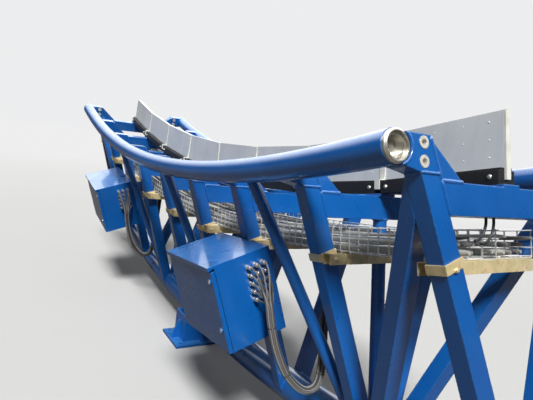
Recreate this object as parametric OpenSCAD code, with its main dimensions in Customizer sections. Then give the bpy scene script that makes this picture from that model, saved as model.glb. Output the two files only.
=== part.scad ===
// A section of launch track: two rails bent to a valley, nine A-shaped frames on a round spine,
// a row of stator plates along the middle, two cable trays and two junction boxes.
// X runs along the track, Y across it, Z up. The origin is the centre of the base plate's underside.
// In a frame's own axes z = 0 is the level of the rails' centre lines.

/* [Track] */
// Radius of the rails' centre lines, seen from the side
rail_radius = 8350; // [7900:10:9000]
// Angle from the bottom of the valley to each end of the section
half_angle = 15.14; // [14.8:0.01:15.6]
// Distance between the rails' centre lines
gauge = 1006; // [980:1:1030]
// Height of the rails' centre lines over the floor at the bottom of the valley
rail_height = 1300; // [1280:1:1400]
// Bays between the first frame and the last
bays = 8; // [8:2:8]
// Angle by which the middle frame stands off the bottom of the valley
mid_shift = 0.3; // [0:0.05:0.5]

/* [Rails] */
// Outside diameter of a rail
rail_d = 101.6; // [95:0.1:108]
// Wall of a rail
rail_wall = 8; // [5:0.5:12]
// Outside diameter of the machined ring on a rail's end
ring_d = 98; // [94:0.5:101]
// Length of the ring
ring_len = 14; // [10:1:20]
// Bevel on the ring's outer edge
ring_bevel = 6; // [3:0.5:8]
// Diameter of the recess in the ring's face
recess_d = 80; // [76:1:84]
// Depth of the recess
recess = 10; // [6:1:12]
// Diameter of the socket in a rail's end
socket_d = 64; // [56:1:72]
// Depth of the socket, from the ring's face
socket_depth = 40; // [30:1:50]
// Thickness of the plug at the bottom of the socket
plug_t = 20; // [10:1:30]
// Diameter of the hole through the plug
plug_hole = 12; // [8:1:20]

/* [Frames] */
// Width of a leg, across the track
leg_w = 72; // [66:1:76]
// Depth of a frame, along the track
frame_t = 60; // [56:1:64]
// Wall of the box sections
box_wall = 5; // [4:0.5:8]
// Distance from the centre plane to a leg's axis, under its head
leg_top_y = 380; // [370:1:390]
// Distance from the centre plane to a leg's axis, level with the spine's axis
leg_foot_y = 46; // [44:0.5:50]
// Height of a head over the rails' centre lines
head_rise = 42; // [36:1:46]
// Depth of a head below the rails' centre lines
head_drop = 64; // [60:1:70]
// Depth of the corner wedge along the track
wedge_t = 52; // [44:1:56]
// Distance from the centre plane to the wedge's toe
wedge_toe_y = 238; // [225:1:250]
// Depth of the cross-beam's top below the rails' centre lines
beam_drop = 82; // [78:1:88]
// Height of the cross-beam
beam_h = 96; // [88:1:104]
// Outside diameter of the sleeves in the end heads
sleeve_d = 36; // [30:1:38]
// Diameter of the sleeves' bores
sleeve_bore = 18; // [14:1:22]
// Distance from the centre plane to the sleeves
sleeve_y = 405; // [402:1:410]
// Height of the upper sleeve over the rails' centre lines
sleeve_rise = 19; // [16:1:22]
// Depth of the lower sleeve below the rails' centre lines
sleeve_drop = 34; // [32:1:38]
// How far a sleeve stands proud of its head
sleeve_proud = 2; // [1:0.5:4]
// Height of a pad on a cross-beam
pad_h = 10; // [6:1:12]
// Width of a pad
pad_w = 84; // [76:1:90]
// Length of a pad along the track
pad_l = 80; // [70:1:90]

/* [Spine] */
// Depth of the spine's axis below the rails' centre lines
spine_drop = 1076; // [1060:1:1090]
// Outside diameter of the spine
spine_d = 159; // [158:0.5:162]
// Wall of the spine
spine_wall = 12; // [8:0.5:16]
// Outside diameter of the spine's end flanges
flange_d = 254; // [250:1:260]
// Thickness of the spine's end flanges
flange_t = 20; // [16:1:24]
// Bolt circle of the end flanges
flange_pcd = 204; // [202:1:208]
// Diameter of the flanges' bolt holes
flange_hole = 22; // [18:1:22]
// Bolts in an end flange
flange_bolts = 4; // [4]

/* [Braces] */
// Outside diameter of the round braces
brace_d = 50.8; // [44:0.1:54]
// Wall of the round braces
brace_wall = 4; // [3:0.5:6]
// Outside diameter of the centre posts
post_d = 56; // [50:1:60]
// Width of the lug on a centre post
lug_w = 30; // [20:1:36]
// Thickness of the lug
lug_t = 8; // [6:1:12]
// Diameter of the hole in the lug
lug_hole = 14; // [8:1:16]
// Depth of the lug below the rails' centre lines
lug_drop = 560; // [500:5:620]
// Distance from the centre plane to the foot of a round brace
brace_foot_y = 62; // [58:1:66]
// Height of a round brace's foot over the spine's axis
brace_foot_rise = 64; // [60:1:68]

/* [Foot] */
// Length of the base plate, along the track
base_l = 300; // [290:1:320]
// Width of the base plate
base_w = 400; // [390:1:420]
// Thickness of the base plate
base_t = 20; // [15:1:25]
// Distance between the anchor holes, along the track
anchor_x = 230; // [228:1:240]
// Distance between the anchor holes, across the track
anchor_y = 320; // [310:1:330]
// Diameter of the anchor holes
anchor_hole = 22; // [18:1:26]
// Length of the foot's column, along the track
foot_l = 180; // [160:1:190]
// Width of the foot's column
foot_w = 260; // [240:1:270]
// Plate of the column and its gussets
foot_plate = 15; // [12:1:20]
// How far the column's cheeks end below the spine's axis
cheek_drop = 19; // [19:1:30]

/* [Stator] */
// Height of the stator plates' top over the rails' centre lines
plate_rise = 170; // [160:1:180]
// Thickness of a stator plate
plate_t = 24; // [20:1:40]
// Depth of the stator plates' bottom below the rails' centre lines
plate_drop = 17; // [12:1:24]
// Thickness of a plate's end cap, along the track
cap_t = 8; // [5:1:12]
// Depth of a cap's lower end below the rails' centre lines
cap_drop = 55; // [48:1:60]
// Gap between neighbouring caps at their top
cap_gap = 2; // [1:0.5:5]
// Width of a carrier
carrier_w = 84; // [76:1:92]
// Width of a carrier's top
carrier_top_w = 60; // [50:1:66]
// Height of the step between the two widths
carrier_step = 8; // [4:1:16]

/* [Cable tray] */
// Distance from the centre plane to a tray's inner side
tray_in_y = 36; // [34:1:44]
// Distance from the centre plane to a tray's outer side
tray_out_y = 251; // [240:1:254]
// Depth of a tray's underside below the rails' centre lines
tray_drop = 310; // [306:1:314]
// Height of a tray
tray_h = 100; // [80:1:110]
// Diameter of the tray's wires
wire_d = 5; // [4:0.5:6]
// Distance between the tray's hoops
hoop_pitch = 50; // [48:1:100]
// Wires under a tray
floor_wires = 7; // [5:1:9]
// Wires on a tray's side
side_wires = 3; // [2:1:4]
// Diameter of the cables in a tray
cable_d = 42; // [36:1:44]
// Cables in a tray's lower row
row_cables = 5; // [4:1:5]
// Height and width of the struts under the trays
strut_w = 41; // [30:1:41]
// Sheet of the struts
strut_t = 3; // [2:0.5:4]
// Half the length of a strut
strut_half = 322; // [310:1:324]
// Height of the straps round the legs
strap_h = 30; // [20:1:40]
// Thickness of the straps
strap_t = 5; // [3:0.5:6]

/* [Junction boxes] */
// Length of a box, along the track
jbox_l = 485; // [460:1:500]
// Height of a box, along the leg
jbox_h = 387; // [370:1:400]
// Depth of a box with its door
jbox_d = 290; // [270:1:300]
// Depth of a box's top below the rails' centre lines
jbox_drop = 308; // [300:1:320]
// Sheet of a box
jbox_wall = 3; // [2:0.5:4]
// Width of the rim round a box's mouth
jbox_rim = 20; // [15:1:25]
// Thickness of the bars that carry a box
bar_t = 12; // [8:1:16]
// Thickness of a door
door_t = 18; // [14:1:22]
// Gap between a door and its box
door_gap = 2; // [1:0.5:3]
// Height of the hood's lip
hood_lip = 15; // [8:1:20]
// How far the hood stands out over a door
hood_over = 10; // [8:1:16]
// Diameter of a hinge pin
pin_d = 8; // [6:1:10]
// Distance from a box's side to its hinge pins
pin_off = 9; // [9:0.5:12]
// Glands in a row
gland_cols = 3; // [2:1:3]
// Rows of glands
gland_rows = 5; // [3:1:5]
// Distance between glands
gland_pitch = 36; // [30:1:36]
// Diameter of a gland's body
gland_d = 20; // [16:1:22]

/* [Fits] */
// Gap left at a seat between two pieces
seat = 0.3; // [0.2:0.05:0.5]
// Radial clearance of a hinge pin
pin_fit = 0.05; // [0.02:0.01:0.1]
// Clearance between moving pieces
move_gap = 6; // [5:0.5:8]

/* [Hidden] */
$fn = 48;
arc_fn = 720;
wire_fn = 8;
deg = 180 / PI;
frames = [for (i = [-bays / 2 : bays / 2]) i];
end_angle = half_angle - atan(frame_t / 2 / rail_radius);
leg_tilt = atan((leg_top_y - leg_foot_y) / (spine_drop - head_drop));
leg_n = leg_foot_y * cos(leg_tilt);
pad_top_drop = beam_drop - pad_h;
strut_top = tray_drop + seat;
jbox_case_d = jbox_d - door_t - door_gap;
door_top = hood_lip + move_gap;
pin_y = bar_t + jbox_case_d + door_gap / 2;
gland_first_y = 50;
gland_first_z = 55;
gland_len = 34;
hinge_z = [90, jbox_h - 77];
bar_h = 40;
bar_inset = 60;
terminal_inset = 130;
// Frame number and side of each end brace: it starts at an end frame and lands beside the next
end_brace_ends = [-1, 1];
// Bays with a round brace: the frame at whose foot it lands
round_brace_frames = [-1, 1, 3];
post_frames = [-3, -1, 1, 3];
jbox_frames = [-2, 2];
// Route of a box's cable bundle: x past the glands' ends, then y and z in its frame's axes
bundle_route = [[0.5, -391, -459], [14, -391, -459], [34, -390, -470], [50, -387, -505],
    [57, -380, -560], [62, -366, -640], [70, -338, -740], [86, -292, -840], [109, -226, -905],
    [124, -170, -900], [128, -145, -840], [126, -140, -740], [124, -140, -600], [124, -140, -450],
    [124, -140, -306]];
bundle_r = [40, 37, 30, 24, 20, 20, 20, 20, 20, 20, 20, 20, 20, 20, 20];
terminal_w = 16;
terminal_pitch = 19;
// Routes of the two black leads under the last cross-beam, in the last frame's axes
lead_routes = [[[-10, -40, -179], [-10, -42, -200], [-12, -52, -232], [-14, -74, -252],
    [-16, -100, -258]], [[-10, -80, -179], [-10, -82, -198], [-12, -92, -224], [-14, -110, -242],
    [-16, -132, -250]]];
lead_d = 9;

// Angle of frame i: the middle frame stands off the valley's bottom, the end frames at its ends
function station(i) = mid_shift + (i < 0 ? (mid_shift + end_angle) : (end_angle - mid_shift))
    * i / (bays / 2);
// A point at angle a, y across the track and z over the rails' centre lines
function track_point(a, y, z) = [(rail_radius - z) * sin(a), y,
    rail_height + rail_radius - (rail_radius - z) * cos(a)];
// Distance from the centre plane to the line n off the spine's axis along the leg, at height z
function leg_y(n, z) = n * cos(leg_tilt)
    + (z + spine_drop + n * sin(leg_tilt)) * tan(leg_tilt);
// A point n across and w up the leg, from the spine's axis
function leg_point(n, w) = [n * cos(leg_tilt) + w * sin(leg_tilt),
    -spine_drop - n * sin(leg_tilt) + w * cos(leg_tilt)];

module at_station(a) translate([0, 0, rail_height + rail_radius]) rotate([0, -a, 0])
    translate([0, 0, -rail_radius]) children();
module at_frame(i) at_station(station(i)) children();
// side is 1 for the far half and -1 for the near half, which is its mirror image
module on_side(side) mirror([0, side < 0 ? 1 : 0, 0]) children();
// Carries a profile (x across the track, y over the rails' centre lines) along the valley's arc,
// from its bottom to angle a on both sides
module along_track(a) for (s = [0, 1]) mirror([s, 0, 0])
    translate([0, 0, rail_height + rail_radius]) rotate([90, 0, 0]) rotate([0, 0, -90])
    rotate_extrude(angle = a, $fn = arc_fn)
    translate([rail_radius, 0]) mirror([1, 0]) rotate(-90) children();
// Extrudes an outline drawn across the track by t along it, centred on the frame
module across(t) rotate([90, 0, 90]) linear_extrude(height = t, center = true) children();
module lengthwise(d, l, y, z) translate([0, y, z]) rotate([0, 90, 0])
    cylinder(d = d, h = l, center = true);
// Turns a bar that stands along z so that it runs from p to q, two faces parallel to the X axis
module bar_from(p, q) let (v = q - p) translate(p) rotate([atan2(-v[1], v[2]), 0, 0])
    rotate([0, atan2(v[0], norm([v[1], v[2]])), 0]) children();

// Rails and spine

module rail(side) color("royalblue") let (a = end_angle
        + atan((frame_t / 2 - ring_len - seat) / rail_radius)) along_track(a)
    translate([side * gauge / 2, 0]) difference() {
        circle(d = rail_d);
        circle(d = rail_d - 2 * rail_wall);
    }

// A ring with the socket for the next rail's spigot, and the plug that closes it
module rail_end_ring() let (r = rail_d / 2 - rail_wall - seat) difference() {
    union() {
        cylinder(d = ring_d, h = ring_len - ring_bevel);
        translate([0, 0, ring_len - ring_bevel])
            cylinder(d1 = ring_d, d2 = ring_d - 2 * ring_bevel, h = ring_bevel);
        translate([0, 0, -socket_depth + ring_len - plug_t])
            cylinder(r = r, h = socket_depth + plug_t - ring_len + 1);
    }
    translate([0, 0, ring_len - socket_depth]) cylinder(d = socket_d, h = socket_depth + 1);
    translate([0, 0, ring_len - recess]) cylinder(d = recess_d, h = recess + 1);
    translate([0, 0, -2 * socket_depth - plug_t]) cylinder(d = plug_hole, h = 3 * socket_depth
        + plug_t);
}

module rail_end_rings() color("silver") for (e = [-1, 1], side = [-1, 1])
    at_frame(e * bays / 2) translate([e * (frame_t / 2 - ring_len), side * gauge / 2, 0])
    rotate([0, e * 90, 0]) rail_end_ring();

module spine() color("royalblue") let (a = end_angle
        + atan((frame_t / 2 - flange_t - seat) / (rail_radius + spine_drop))) along_track(a)
    translate([0, -spine_drop]) difference() {
        circle(d = spine_d);
        circle(d = spine_d - 2 * spine_wall);
    }

// Blank flanges, which close the spine's ends so that no damp gets in
module spine_flanges() color("royalblue") for (e = [-1, 1]) at_frame(e * bays / 2)
    translate([e * (frame_t - flange_t) / 2, 0, -spine_drop]) rotate([0, 90, 0]) difference() {
        cylinder(d = flange_d, h = flange_t, center = true);
        for (k = [0 : flange_bolts - 1]) rotate(k * 360 / flange_bolts)
            translate([flange_pcd / 2, 0, 0])
            cylinder(d = flange_hole, h = flange_t + 1, center = true);
    }

// Frames

module spine_space(l = 2 * frame_t) lengthwise(spine_d + 2 * seat, l, 0, -spine_drop);
module rail_space(l = 2 * frame_t) lengthwise(rail_d + 2 * seat, l, gauge / 2, 0);
// What an end frame leaves free for the rail's ring and the spine's flange
module end_space(e) {
    translate([e * frame_t / 2, 0, 0]) {
        lengthwise(ring_d + 2 * seat, 2 * (ring_len + seat), gauge / 2, 0);
        lengthwise(flange_d + 2 * seat, 2 * (flange_t + seat), 0, -spine_drop);
    }
}

function end_of(i) = i == bays / 2 ? 1 : i == -bays / 2 ? -1 : 0;

// Side view of a leg, cut square at its foot and level under its head
module leg_outline(inset, over) let (n1 = leg_n - leg_w / 2 + inset,
        n2 = leg_n + leg_w / 2 - inset, w0 = 20 - over, z1 = -head_drop - seat + over)
    polygon([leg_point(n1, w0), leg_point(n2, w0), [leg_y(n2, z1), z1], [leg_y(n1, z1), z1]]);

module leg_solid(grow = 0) across(frame_t + 2 * grow) leg_outline(-grow, grow);

module leg(i) difference() {
    leg_solid();
    across(frame_t - 2 * box_wall) leg_outline(box_wall, 40);
    spine_space();
    if (end_of(i) != 0) end_space(end_of(i));
}

module legs(side) color("royalblue") for (i = frames) at_frame(i) on_side(side) leg(i);

head_in_top = leg_y(leg_n - leg_w / 2, head_rise);
head_in_low = leg_y(leg_n - leg_w / 2, -head_drop);

module head(i) difference() {
    across(frame_t) polygon([[head_in_low, -head_drop],
        [leg_y(leg_n + leg_w / 2, -head_drop), -head_drop], [gauge / 2 - 13, -rail_d / 2 + 2],
        [gauge / 2 - 13, head_rise], [head_in_top, head_rise]]);
    rail_space();
    if (end_of(i) != 0) {
        end_space(end_of(i));
        for (z = [sleeve_rise, -sleeve_drop])
            lengthwise(sleeve_d + 2 * seat, frame_t + 1, sleeve_y, z);
    }
}

module heads(side) color("royalblue") for (i = frames) at_frame(i) on_side(side) head(i);

module corner_wedges() color("royalblue") for (i = frames, side = [-1, 1]) at_frame(i)
    on_side(side) across(wedge_t) let (n = leg_n - leg_w / 2)
    polygon([[wedge_toe_y, -beam_drop + seat], [leg_y(n, -beam_drop) - seat, -beam_drop + seat],
        [leg_y(n, head_rise - 2) - seat, head_rise - 2]]);

module bolt_sleeves() color("silver") for (e = [-1, 1], side = [-1, 1],
        z = [sleeve_rise, -sleeve_drop])
    at_frame(e * bays / 2) on_side(side) difference() {
        lengthwise(sleeve_d, frame_t + 2 * sleeve_proud, sleeve_y, z);
        lengthwise(sleeve_bore, frame_t + 2 * sleeve_proud + 1, sleeve_y, z);
    }

// Outline of a box member between the legs' inner faces, from depth d1 to depth d2
module between_legs(d1, d2) let (y1 = leg_y(leg_n - leg_w / 2, -d1) - seat,
        y2 = leg_y(leg_n - leg_w / 2, -d2) - seat)
    polygon([[-y1, -d1], [-y2, -d2], [y2, -d2], [y1, -d1]]);

// The pads of the end frames stop flush with the section's ends
module cross_beams() color("royalblue") for (i = frames) at_frame(i) difference() {
    union() let (l = end_of(i) == 0 ? pad_l : frame_t) {
        across(frame_t) between_legs(beam_drop, beam_drop + beam_h);
        translate([-l / 2, -pad_w / 2, -beam_drop - 1]) cube([l, pad_w, pad_h + 1]);
    }
    translate([0, 0, -beam_drop - beam_h / 2]) cube([frame_t - 2 * box_wall, gauge,
        beam_h - 2 * box_wall], center = true);
}

// Braces and posts

// Box-section braces from under an end frame's head down to the foot of the next frame
module end_brace(e) let (i = e * bays / 2, j = e * (bays / 2 - 1),
        q = track_point(station(i), leg_y(leg_n, -head_drop), -head_drop),
        foot_a = station(j) + e * deg * (frame_t + 8) / (rail_radius + spine_drop),
        p = track_point(foot_a, leg_y(leg_n, -spine_drop + 20), -spine_drop + 20), l = norm(q - p))
    difference() {
        bar_from(p, q) translate([-frame_t / 2, -leg_w / 2, 0]) cube([frame_t, leg_w, l + 60]);
        bar_from(p, q) translate([-frame_t / 2 + box_wall, -leg_w / 2 + box_wall, -10])
            cube([frame_t - 2 * box_wall, leg_w - 2 * box_wall, l + 80]);
        at_frame(i) {
            translate([-frame_t / 2 - seat, 0, -2 * gauge]) translate([e < 0 ? -gauge : 0, 0, 0])
                translate([e < 0 ? frame_t + 2 * seat : 0, 0, 0]) cube([gauge, gauge, 3 * gauge]);
            translate([-gauge / 2, 0, -head_drop - seat]) cube([gauge, gauge, gauge]);
        }
        at_station(foot_a) spine_space(4 * frame_t);
        at_frame(j) leg_solid(seat);
    }

module end_braces() color("royalblue") for (e = end_brace_ends, side = [-1, 1]) on_side(side)
    end_brace(e);

// Round braces from the rail in the middle of a bay down to the spine beside frame i
module round_brace(i) let (a = (station(i - 1) + station(i)) / 2, r = rail_radius + spine_drop,
        q = track_point(a, gauge / 2 - rail_d / 2 * cos(45), -rail_d / 2 * sin(45)),
        foot_a = station(i) - deg * (frame_t / 2 + brace_d / 2 + 4) / r,
        p = track_point(foot_a, brace_foot_y, -spine_drop + brace_foot_rise),
        over = 1.2 * brace_d, v = over * (q - p) / norm(q - p))
    difference() {
        bar_from(p - v, q) cylinder(d = brace_d, h = norm(q - p) + 1.5 * over);
        bar_from(p - 2 * v, q) cylinder(d = brace_d - 2 * brace_wall, h = norm(q - p) + 4 * over);
        at_station(a) rail_space(4 * brace_d);
        at_station(foot_a) spine_space(4 * brace_d);
    }

module round_braces(side) color("royalblue") for (i = round_brace_frames) on_side(side)
    round_brace(i);

module centre_posts() color("royalblue") for (i = post_frames) at_frame(i) difference() {
    union() {
        translate([0, 0, -spine_drop]) cylinder(d = post_d, h = spine_drop - beam_drop - beam_h
            - seat);
        translate([-lug_t / 2, post_d / 2 - brace_wall, -lug_drop])
            cube([lug_t, lug_w + brace_wall, lug_w]);
    }
    translate([0, (post_d + lug_w) / 2, -lug_drop + lug_w / 2]) rotate([0, 90, 0])
        cylinder(d = lug_hole, h = lug_t + 2, center = true);
    translate([0, 0, -spine_drop - 1]) cylinder(d = post_d - 2 * brace_wall, h = spine_drop);
    spine_space();
}

// Foot

module foot_column() color("royalblue") let (top = rail_height - spine_drop - cheek_drop)
    difference() {
        union() {
            translate([-foot_l / 2, -foot_w / 2, base_t]) cube([foot_l, foot_w, top - base_t]);
            for (s = [0, 1]) mirror([s, 0, 0]) translate([foot_l / 2 - 1, foot_plate / 2, base_t])
                rotate([90, 0, 0]) linear_extrude(height = foot_plate)
                polygon([[0, 0], [(base_l - foot_l) / 2 - 6, 0], [(base_l - foot_l) / 2 - 6, 12],
                    [12, 100], [0, 100]]);
            for (s = [0, 1]) mirror([0, s, 0]) translate([-foot_plate / 2, foot_w / 2 - 1, base_t])
                rotate([90, 0, 90]) linear_extrude(height = foot_plate)
                polygon([[0, 0], [(base_w - foot_w) / 2 - 6, 0], [(base_w - foot_w) / 2 - 6, 12],
                    [12, 130], [0, 130]]);
        }
        translate([-foot_l / 2 + foot_plate, -foot_w / 2 + foot_plate, base_t - 1])
            cube([foot_l - 2 * foot_plate, foot_w - 2 * foot_plate, top]);
        translate([0, 0, rail_height]) spine_space(2 * foot_l);
    }

module base_plate() color("royalblue") difference() {
    translate([-base_l / 2, -base_w / 2, 0]) cube([base_l, base_w, base_t - seat]);
    for (x = [-1, 1], y = [-1, 1]) translate([x * anchor_x / 2, y * anchor_y / 2, -1])
        cylinder(d = anchor_hole, h = base_t + 2);
}

// Stator

// The plates fill the whole section, so their joints drift off the frames towards the ends
function joint_angle(i) = station(i) + deg * frame_t / 2 / rail_radius * i / (bays / 2);
function bay_angle(k) = joint_angle(k + 1) - joint_angle(k);
// Half the free length of plate k at height z
function bay_half(k, z) = (rail_radius - z) * tan(bay_angle(k) / 2);
function plate_half(k) = bay_half(k, plate_rise + 6) - cap_t - cap_gap / 2;
// The straight pieces of plate k: z = 0 is where the rails' centre line meets the plate's joints
module in_bay(k) let (a = bay_angle(k)) at_station((joint_angle(k) + joint_angle(k + 1)) / 2)
    translate([0, 0, rail_radius * (1 - cos(a / 2))]) children();
bay_numbers = [for (k = [-bays / 2 : bays / 2 - 1]) k];

module stator_carriers() color("dimgray") for (k = bay_numbers) in_bay(k)
    across(2 * plate_half(k)) let (z0 = -pad_top_drop + seat, z1 = -plate_drop, w = carrier_w / 2,
        t = carrier_top_w / 2, zs = z1 - carrier_step)
    polygon([[-w, z0], [w, z0], [w, zs], [t, zs], [t, z1], [-t, z1], [-t, zs], [-w, zs]]);

module stator_plates() color("lightsteelblue") for (k = bay_numbers) in_bay(k)
    translate([-plate_half(k), -plate_t / 2, -plate_drop + seat])
    cube([2 * plate_half(k), plate_t, plate_rise + plate_drop - seat]);

module stator_caps() color("white") for (k = bay_numbers, s = [-1, 1]) in_bay(k)
    translate([s * (plate_half(k) + cap_t / 2 + seat / 2), 0, (plate_rise - cap_drop) / 2])
    cube([cap_t - seat, plate_t, plate_rise + cap_drop], center = true);

// Cable trays

tray_angle = end_angle - deg * (frame_t / 2) / (rail_radius + tray_drop);
hoop_step = deg * hoop_pitch / (rail_radius + tray_drop);
hoops = floor(tray_angle / hoop_step);

module hoop_outline() let (a = tray_in_y, b = tray_out_y, z0 = -tray_drop, z1 = -tray_drop + tray_h,
        w = wire_d)
    polygon([[a, z1], [a, z0], [b, z0], [b, z1], [b - w, z1], [b - w, z0 + w], [a + w, z0 + w],
        [a + w, z1]]);

module tray_hoops() color("gainsboro") for (k = [-hoops : hoops], side = [-1, 1])
    at_station(k * hoop_step) on_side(side) across(wire_d) hoop_outline();

function spread(a, b, n, k) = a + (b - a) * k / (n - 1);

module tray_wires(side) color("gainsboro") let (a = tray_in_y + 1.5 * wire_d + seat,
        b = tray_out_y - 1.5 * wire_d - seat, z0 = -tray_drop + 1.5 * wire_d + seat,
        z1 = -tray_drop + tray_h - wire_d / 2, t = hoops * hoop_step + 0.05) {
        for (k = [0 : floor_wires - 1]) along_track(t)
            translate([side * spread(a + wire_d, b - wire_d, floor_wires, k), z0])
            circle(d = wire_d, $fn = wire_fn);
        for (y = [a, b], k = [1 : side_wires]) along_track(t)
            translate([side * y, spread(z0, z1, side_wires + 1, k)])
            circle(d = wire_d, $fn = wire_fn);
    }

module tray_cables(side) color("lightgray") let (r = cable_d / 2, rows = row_cables - 1,
        a = tray_in_y + 2 * wire_d + 3 * seat, b = tray_out_y - 2 * wire_d - 3 * seat,
        z0 = -tray_drop + 2 * wire_d + 3 * seat, pitch = (b - a - cable_d) / rows)
    along_track(tray_angle) for (k = [0 : rows]) {
        translate([side * (a + r + k * pitch), z0 + r]) circle(r = r, $fn = 24);
        if (k < rows) translate([side * (a + r + (k + 0.5) * pitch), z0 + r + pitch * sin(60)])
            circle(r = r, $fn = 24);
    }

// The struts run beside the frames, on the side that lies inside the section
function strut_x(i) = (i == bays / 2 ? -1 : 1) * (frame_t / 2 + strut_w / 2 + strap_t + 2 * seat);

module tray_struts() color("darkkhaki") for (i = frames) at_frame(i)
    translate([strut_x(i), 0, -strut_top - strut_w / 2 - 0.3]) difference() {
        cube([strut_w, 2 * strut_half, strut_w], center = true);
        translate([0, 0, -strut_t]) cube([strut_w - 2 * strut_t, 2 * strut_half + 1, strut_w],
            center = true);
    }

// A strap round a leg's outer face, its arms reaching in beside the leg
module tray_strap() let (y0 = leg_y(leg_n + leg_w / 2, -strut_top - strut_w / 2))
    difference() {
        translate([0, y0, -strut_top - strut_w / 2]) rotate([-leg_tilt, 0, 0])
            translate([-frame_t / 2 - strap_t - seat, -leg_w - strap_t, -strap_h / 2])
            cube([frame_t + 2 * strap_t + 2 * seat, leg_w + 2 * strap_t + seat, strap_h]);
        leg_solid(seat);
        translate([0, y0, -strut_top - strut_w / 2]) rotate([-leg_tilt, 0, 0])
            translate([-frame_t / 2 - seat, -leg_w - 20, -strap_h])
            cube([frame_t + 2 * seat, leg_w, 2 * strap_h]);
    }

module tray_straps() color("darkkhaki") for (i = frames, side = [-1, 1]) at_frame(i) on_side(side)
    tray_strap();

// Junction boxes

// The box at frame i: y = 0 is the near leg's outer face, z = 0 the box's top, +Z up the leg
module at_box(i) at_frame(i) translate([0, -leg_y(leg_n + leg_w / 2, -jbox_drop), -jbox_drop])
    rotate([leg_tilt, 0, 0]) children();

// A block given by its lowest and highest corners
module block(lo, hi) translate(lo) cube(hi - lo);

module box_case(i) color("royalblue") at_box(i) let (x = jbox_l / 2, y0 = -bar_t,
        y1 = -bar_t - jbox_case_d, w = jbox_wall, rim = jbox_rim) {
    difference() {
        block([-x, y1, -jbox_h], [x, y0, 0]);
        block([-x + w, y1 + w, -jbox_h + w], [x - w, y0 - w, -w]);
        block([-x + rim, y1 - 1, -jbox_h + rim], [x - rim, y1 + w + 1, -door_top - rim / 2]);
    }
    block([-x, -bar_t - jbox_d - hood_over, 0], [x, y0, w]);
    block([-x, -bar_t - jbox_d - hood_over, -hood_lip], [x, -bar_t - jbox_d - hood_over + w, 0]);
    for (z = hinge_z) {
        for (dz = [0, 40]) {
            translate([-x - pin_off, -pin_y, -z + dz]) cylinder(d = 2 * pin_d, h = 8);
            block([-x - pin_off, -pin_y, -z + dz], [-x, -pin_y + pin_d, -z + dz + 8]);
        }
        translate([-x - pin_off, -pin_y, -z]) cylinder(d = pin_d, h = 48);
    }
}

module box_door(i) color("royalblue") at_box(i) let (x = jbox_l / 2 - 1, w = jbox_wall,
        y0 = -bar_t - jbox_d + door_t, y1 = -bar_t - jbox_d, z0 = -jbox_h + 1, z1 = -door_top) {
    difference() {
        union() {
            block([-x, y1, z0], [x, y0, z1]);
            for (z = hinge_z) {
                block([-jbox_l / 2 - pin_off, y1 + 4, -z + 9], [-x + 1, -pin_y - pin_d / 2 - 1,
                    -z + 39]);
                translate([-jbox_l / 2 - pin_off, -pin_y, -z + 9]) cylinder(d = 2 * pin_d, h = 30);
            }
        }
        block([-x + w, y1 + w, z0 + w], [x - w, y0 + 1, z1 - w]);
        for (z = hinge_z) translate([-jbox_l / 2 - pin_off, -pin_y, -z + 8])
            cylinder(d = pin_d + 2 * pin_fit, h = 32);
    }
    for (z = hinge_z) translate([x - 30, y1 + w, -z + 24]) rotate([90, 0, 0])
        cylinder(d = 26, h = w + 4);
}

module box_bars(i) color("royalblue") at_box(i) for (z = [bar_inset, jbox_h - bar_inset - bar_h])
    block([-jbox_l / 2 + 30, -bar_t + seat, -z - bar_h], [jbox_l / 2 - 30, -seat, -z]);

module gland() {
    cylinder(d = gland_d * 1.25, h = 8, $fn = 6);
    cylinder(d = gland_d, h = gland_len - 6);
    cylinder(d = gland_d * 0.8, h = gland_len);
}

module box_glands(i) color("silver") at_box(i) for (c = [0 : gland_cols - 1],
        r = [0 : gland_rows - 1])
    translate([jbox_l / 2, -bar_t - gland_first_y - c * gland_pitch, -gland_first_z
        - r * gland_pitch]) rotate([0, 90, 0]) gland();

// Plate on the back wall with two rows of terminals
module box_terminals(i) color("lightgray") at_box(i) let (x = jbox_l / 2 - 40,
        y0 = -bar_t - jbox_wall - seat) {
    block([-x, y0 - 14, -jbox_h + 40], [x, y0 - 11, -50]);
    for (dx = [-x + 10, x - 30], z = [70, jbox_h - 60]) block([dx, y0 - 12, -z - 20],
        [dx + 20, y0, -z]);
    for (z = [terminal_inset, jbox_h - terminal_inset]) {
        block([-x + 30, y0 - 22, -z - 18], [x - 30, y0 - 13, -z + 18]);
        for (dx = [-x + 40 : terminal_pitch : x - 30 - terminal_w])
            translate([dx, y0 - 62, -z - 30]) cube([terminal_w, 44, 60]);
    }
}

// A tube with a radius of its own at each point, its rings turned as little as possible
function unit(v) = v / norm(v);
function tangent(p, k) = unit(p[min(k + 1, len(p) - 1)] - p[max(k - 1, 0)]);
function carried(n, t) = unit(n - (n * t) * t);
function normals(p, n, k = 0) = k == len(p) ? [] : let (m = carried(n, tangent(p, k)))
    concat([m], normals(p, m, k + 1));
module sweep(p, r, sides) let (n = normals(p, [0, 1, 0.2]), last = len(p) - 1) polyhedron(
    points = [for (k = [0 : last], j = [0 : sides - 1]) let (t = tangent(p, k), b = cross(t, n[k]),
        a = 360 * j / sides) p[k] + r[k] * (cos(a) * n[k] + sin(a) * b)],
    faces = concat([[for (j = [sides - 1 : -1 : 0]) j]],
        [for (k = [0 : last - 1], j = [0 : sides - 1]) let (a = k * sides, m = (j + 1) % sides)
            [a + j, a + m, a + sides + m, a + sides + j]],
        [[for (j = [0 : sides - 1]) last * sides + j]]));

module box_cables(i) color("gray") at_frame(i) translate([jbox_l / 2 + gland_len, 0, 0])
    sweep(bundle_route, bundle_r, 10);

module black_leads() color("black") at_frame(bays / 2) for (route = lead_routes)
    sweep(route, [for (p = route) lead_d / 2], 8);

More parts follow.
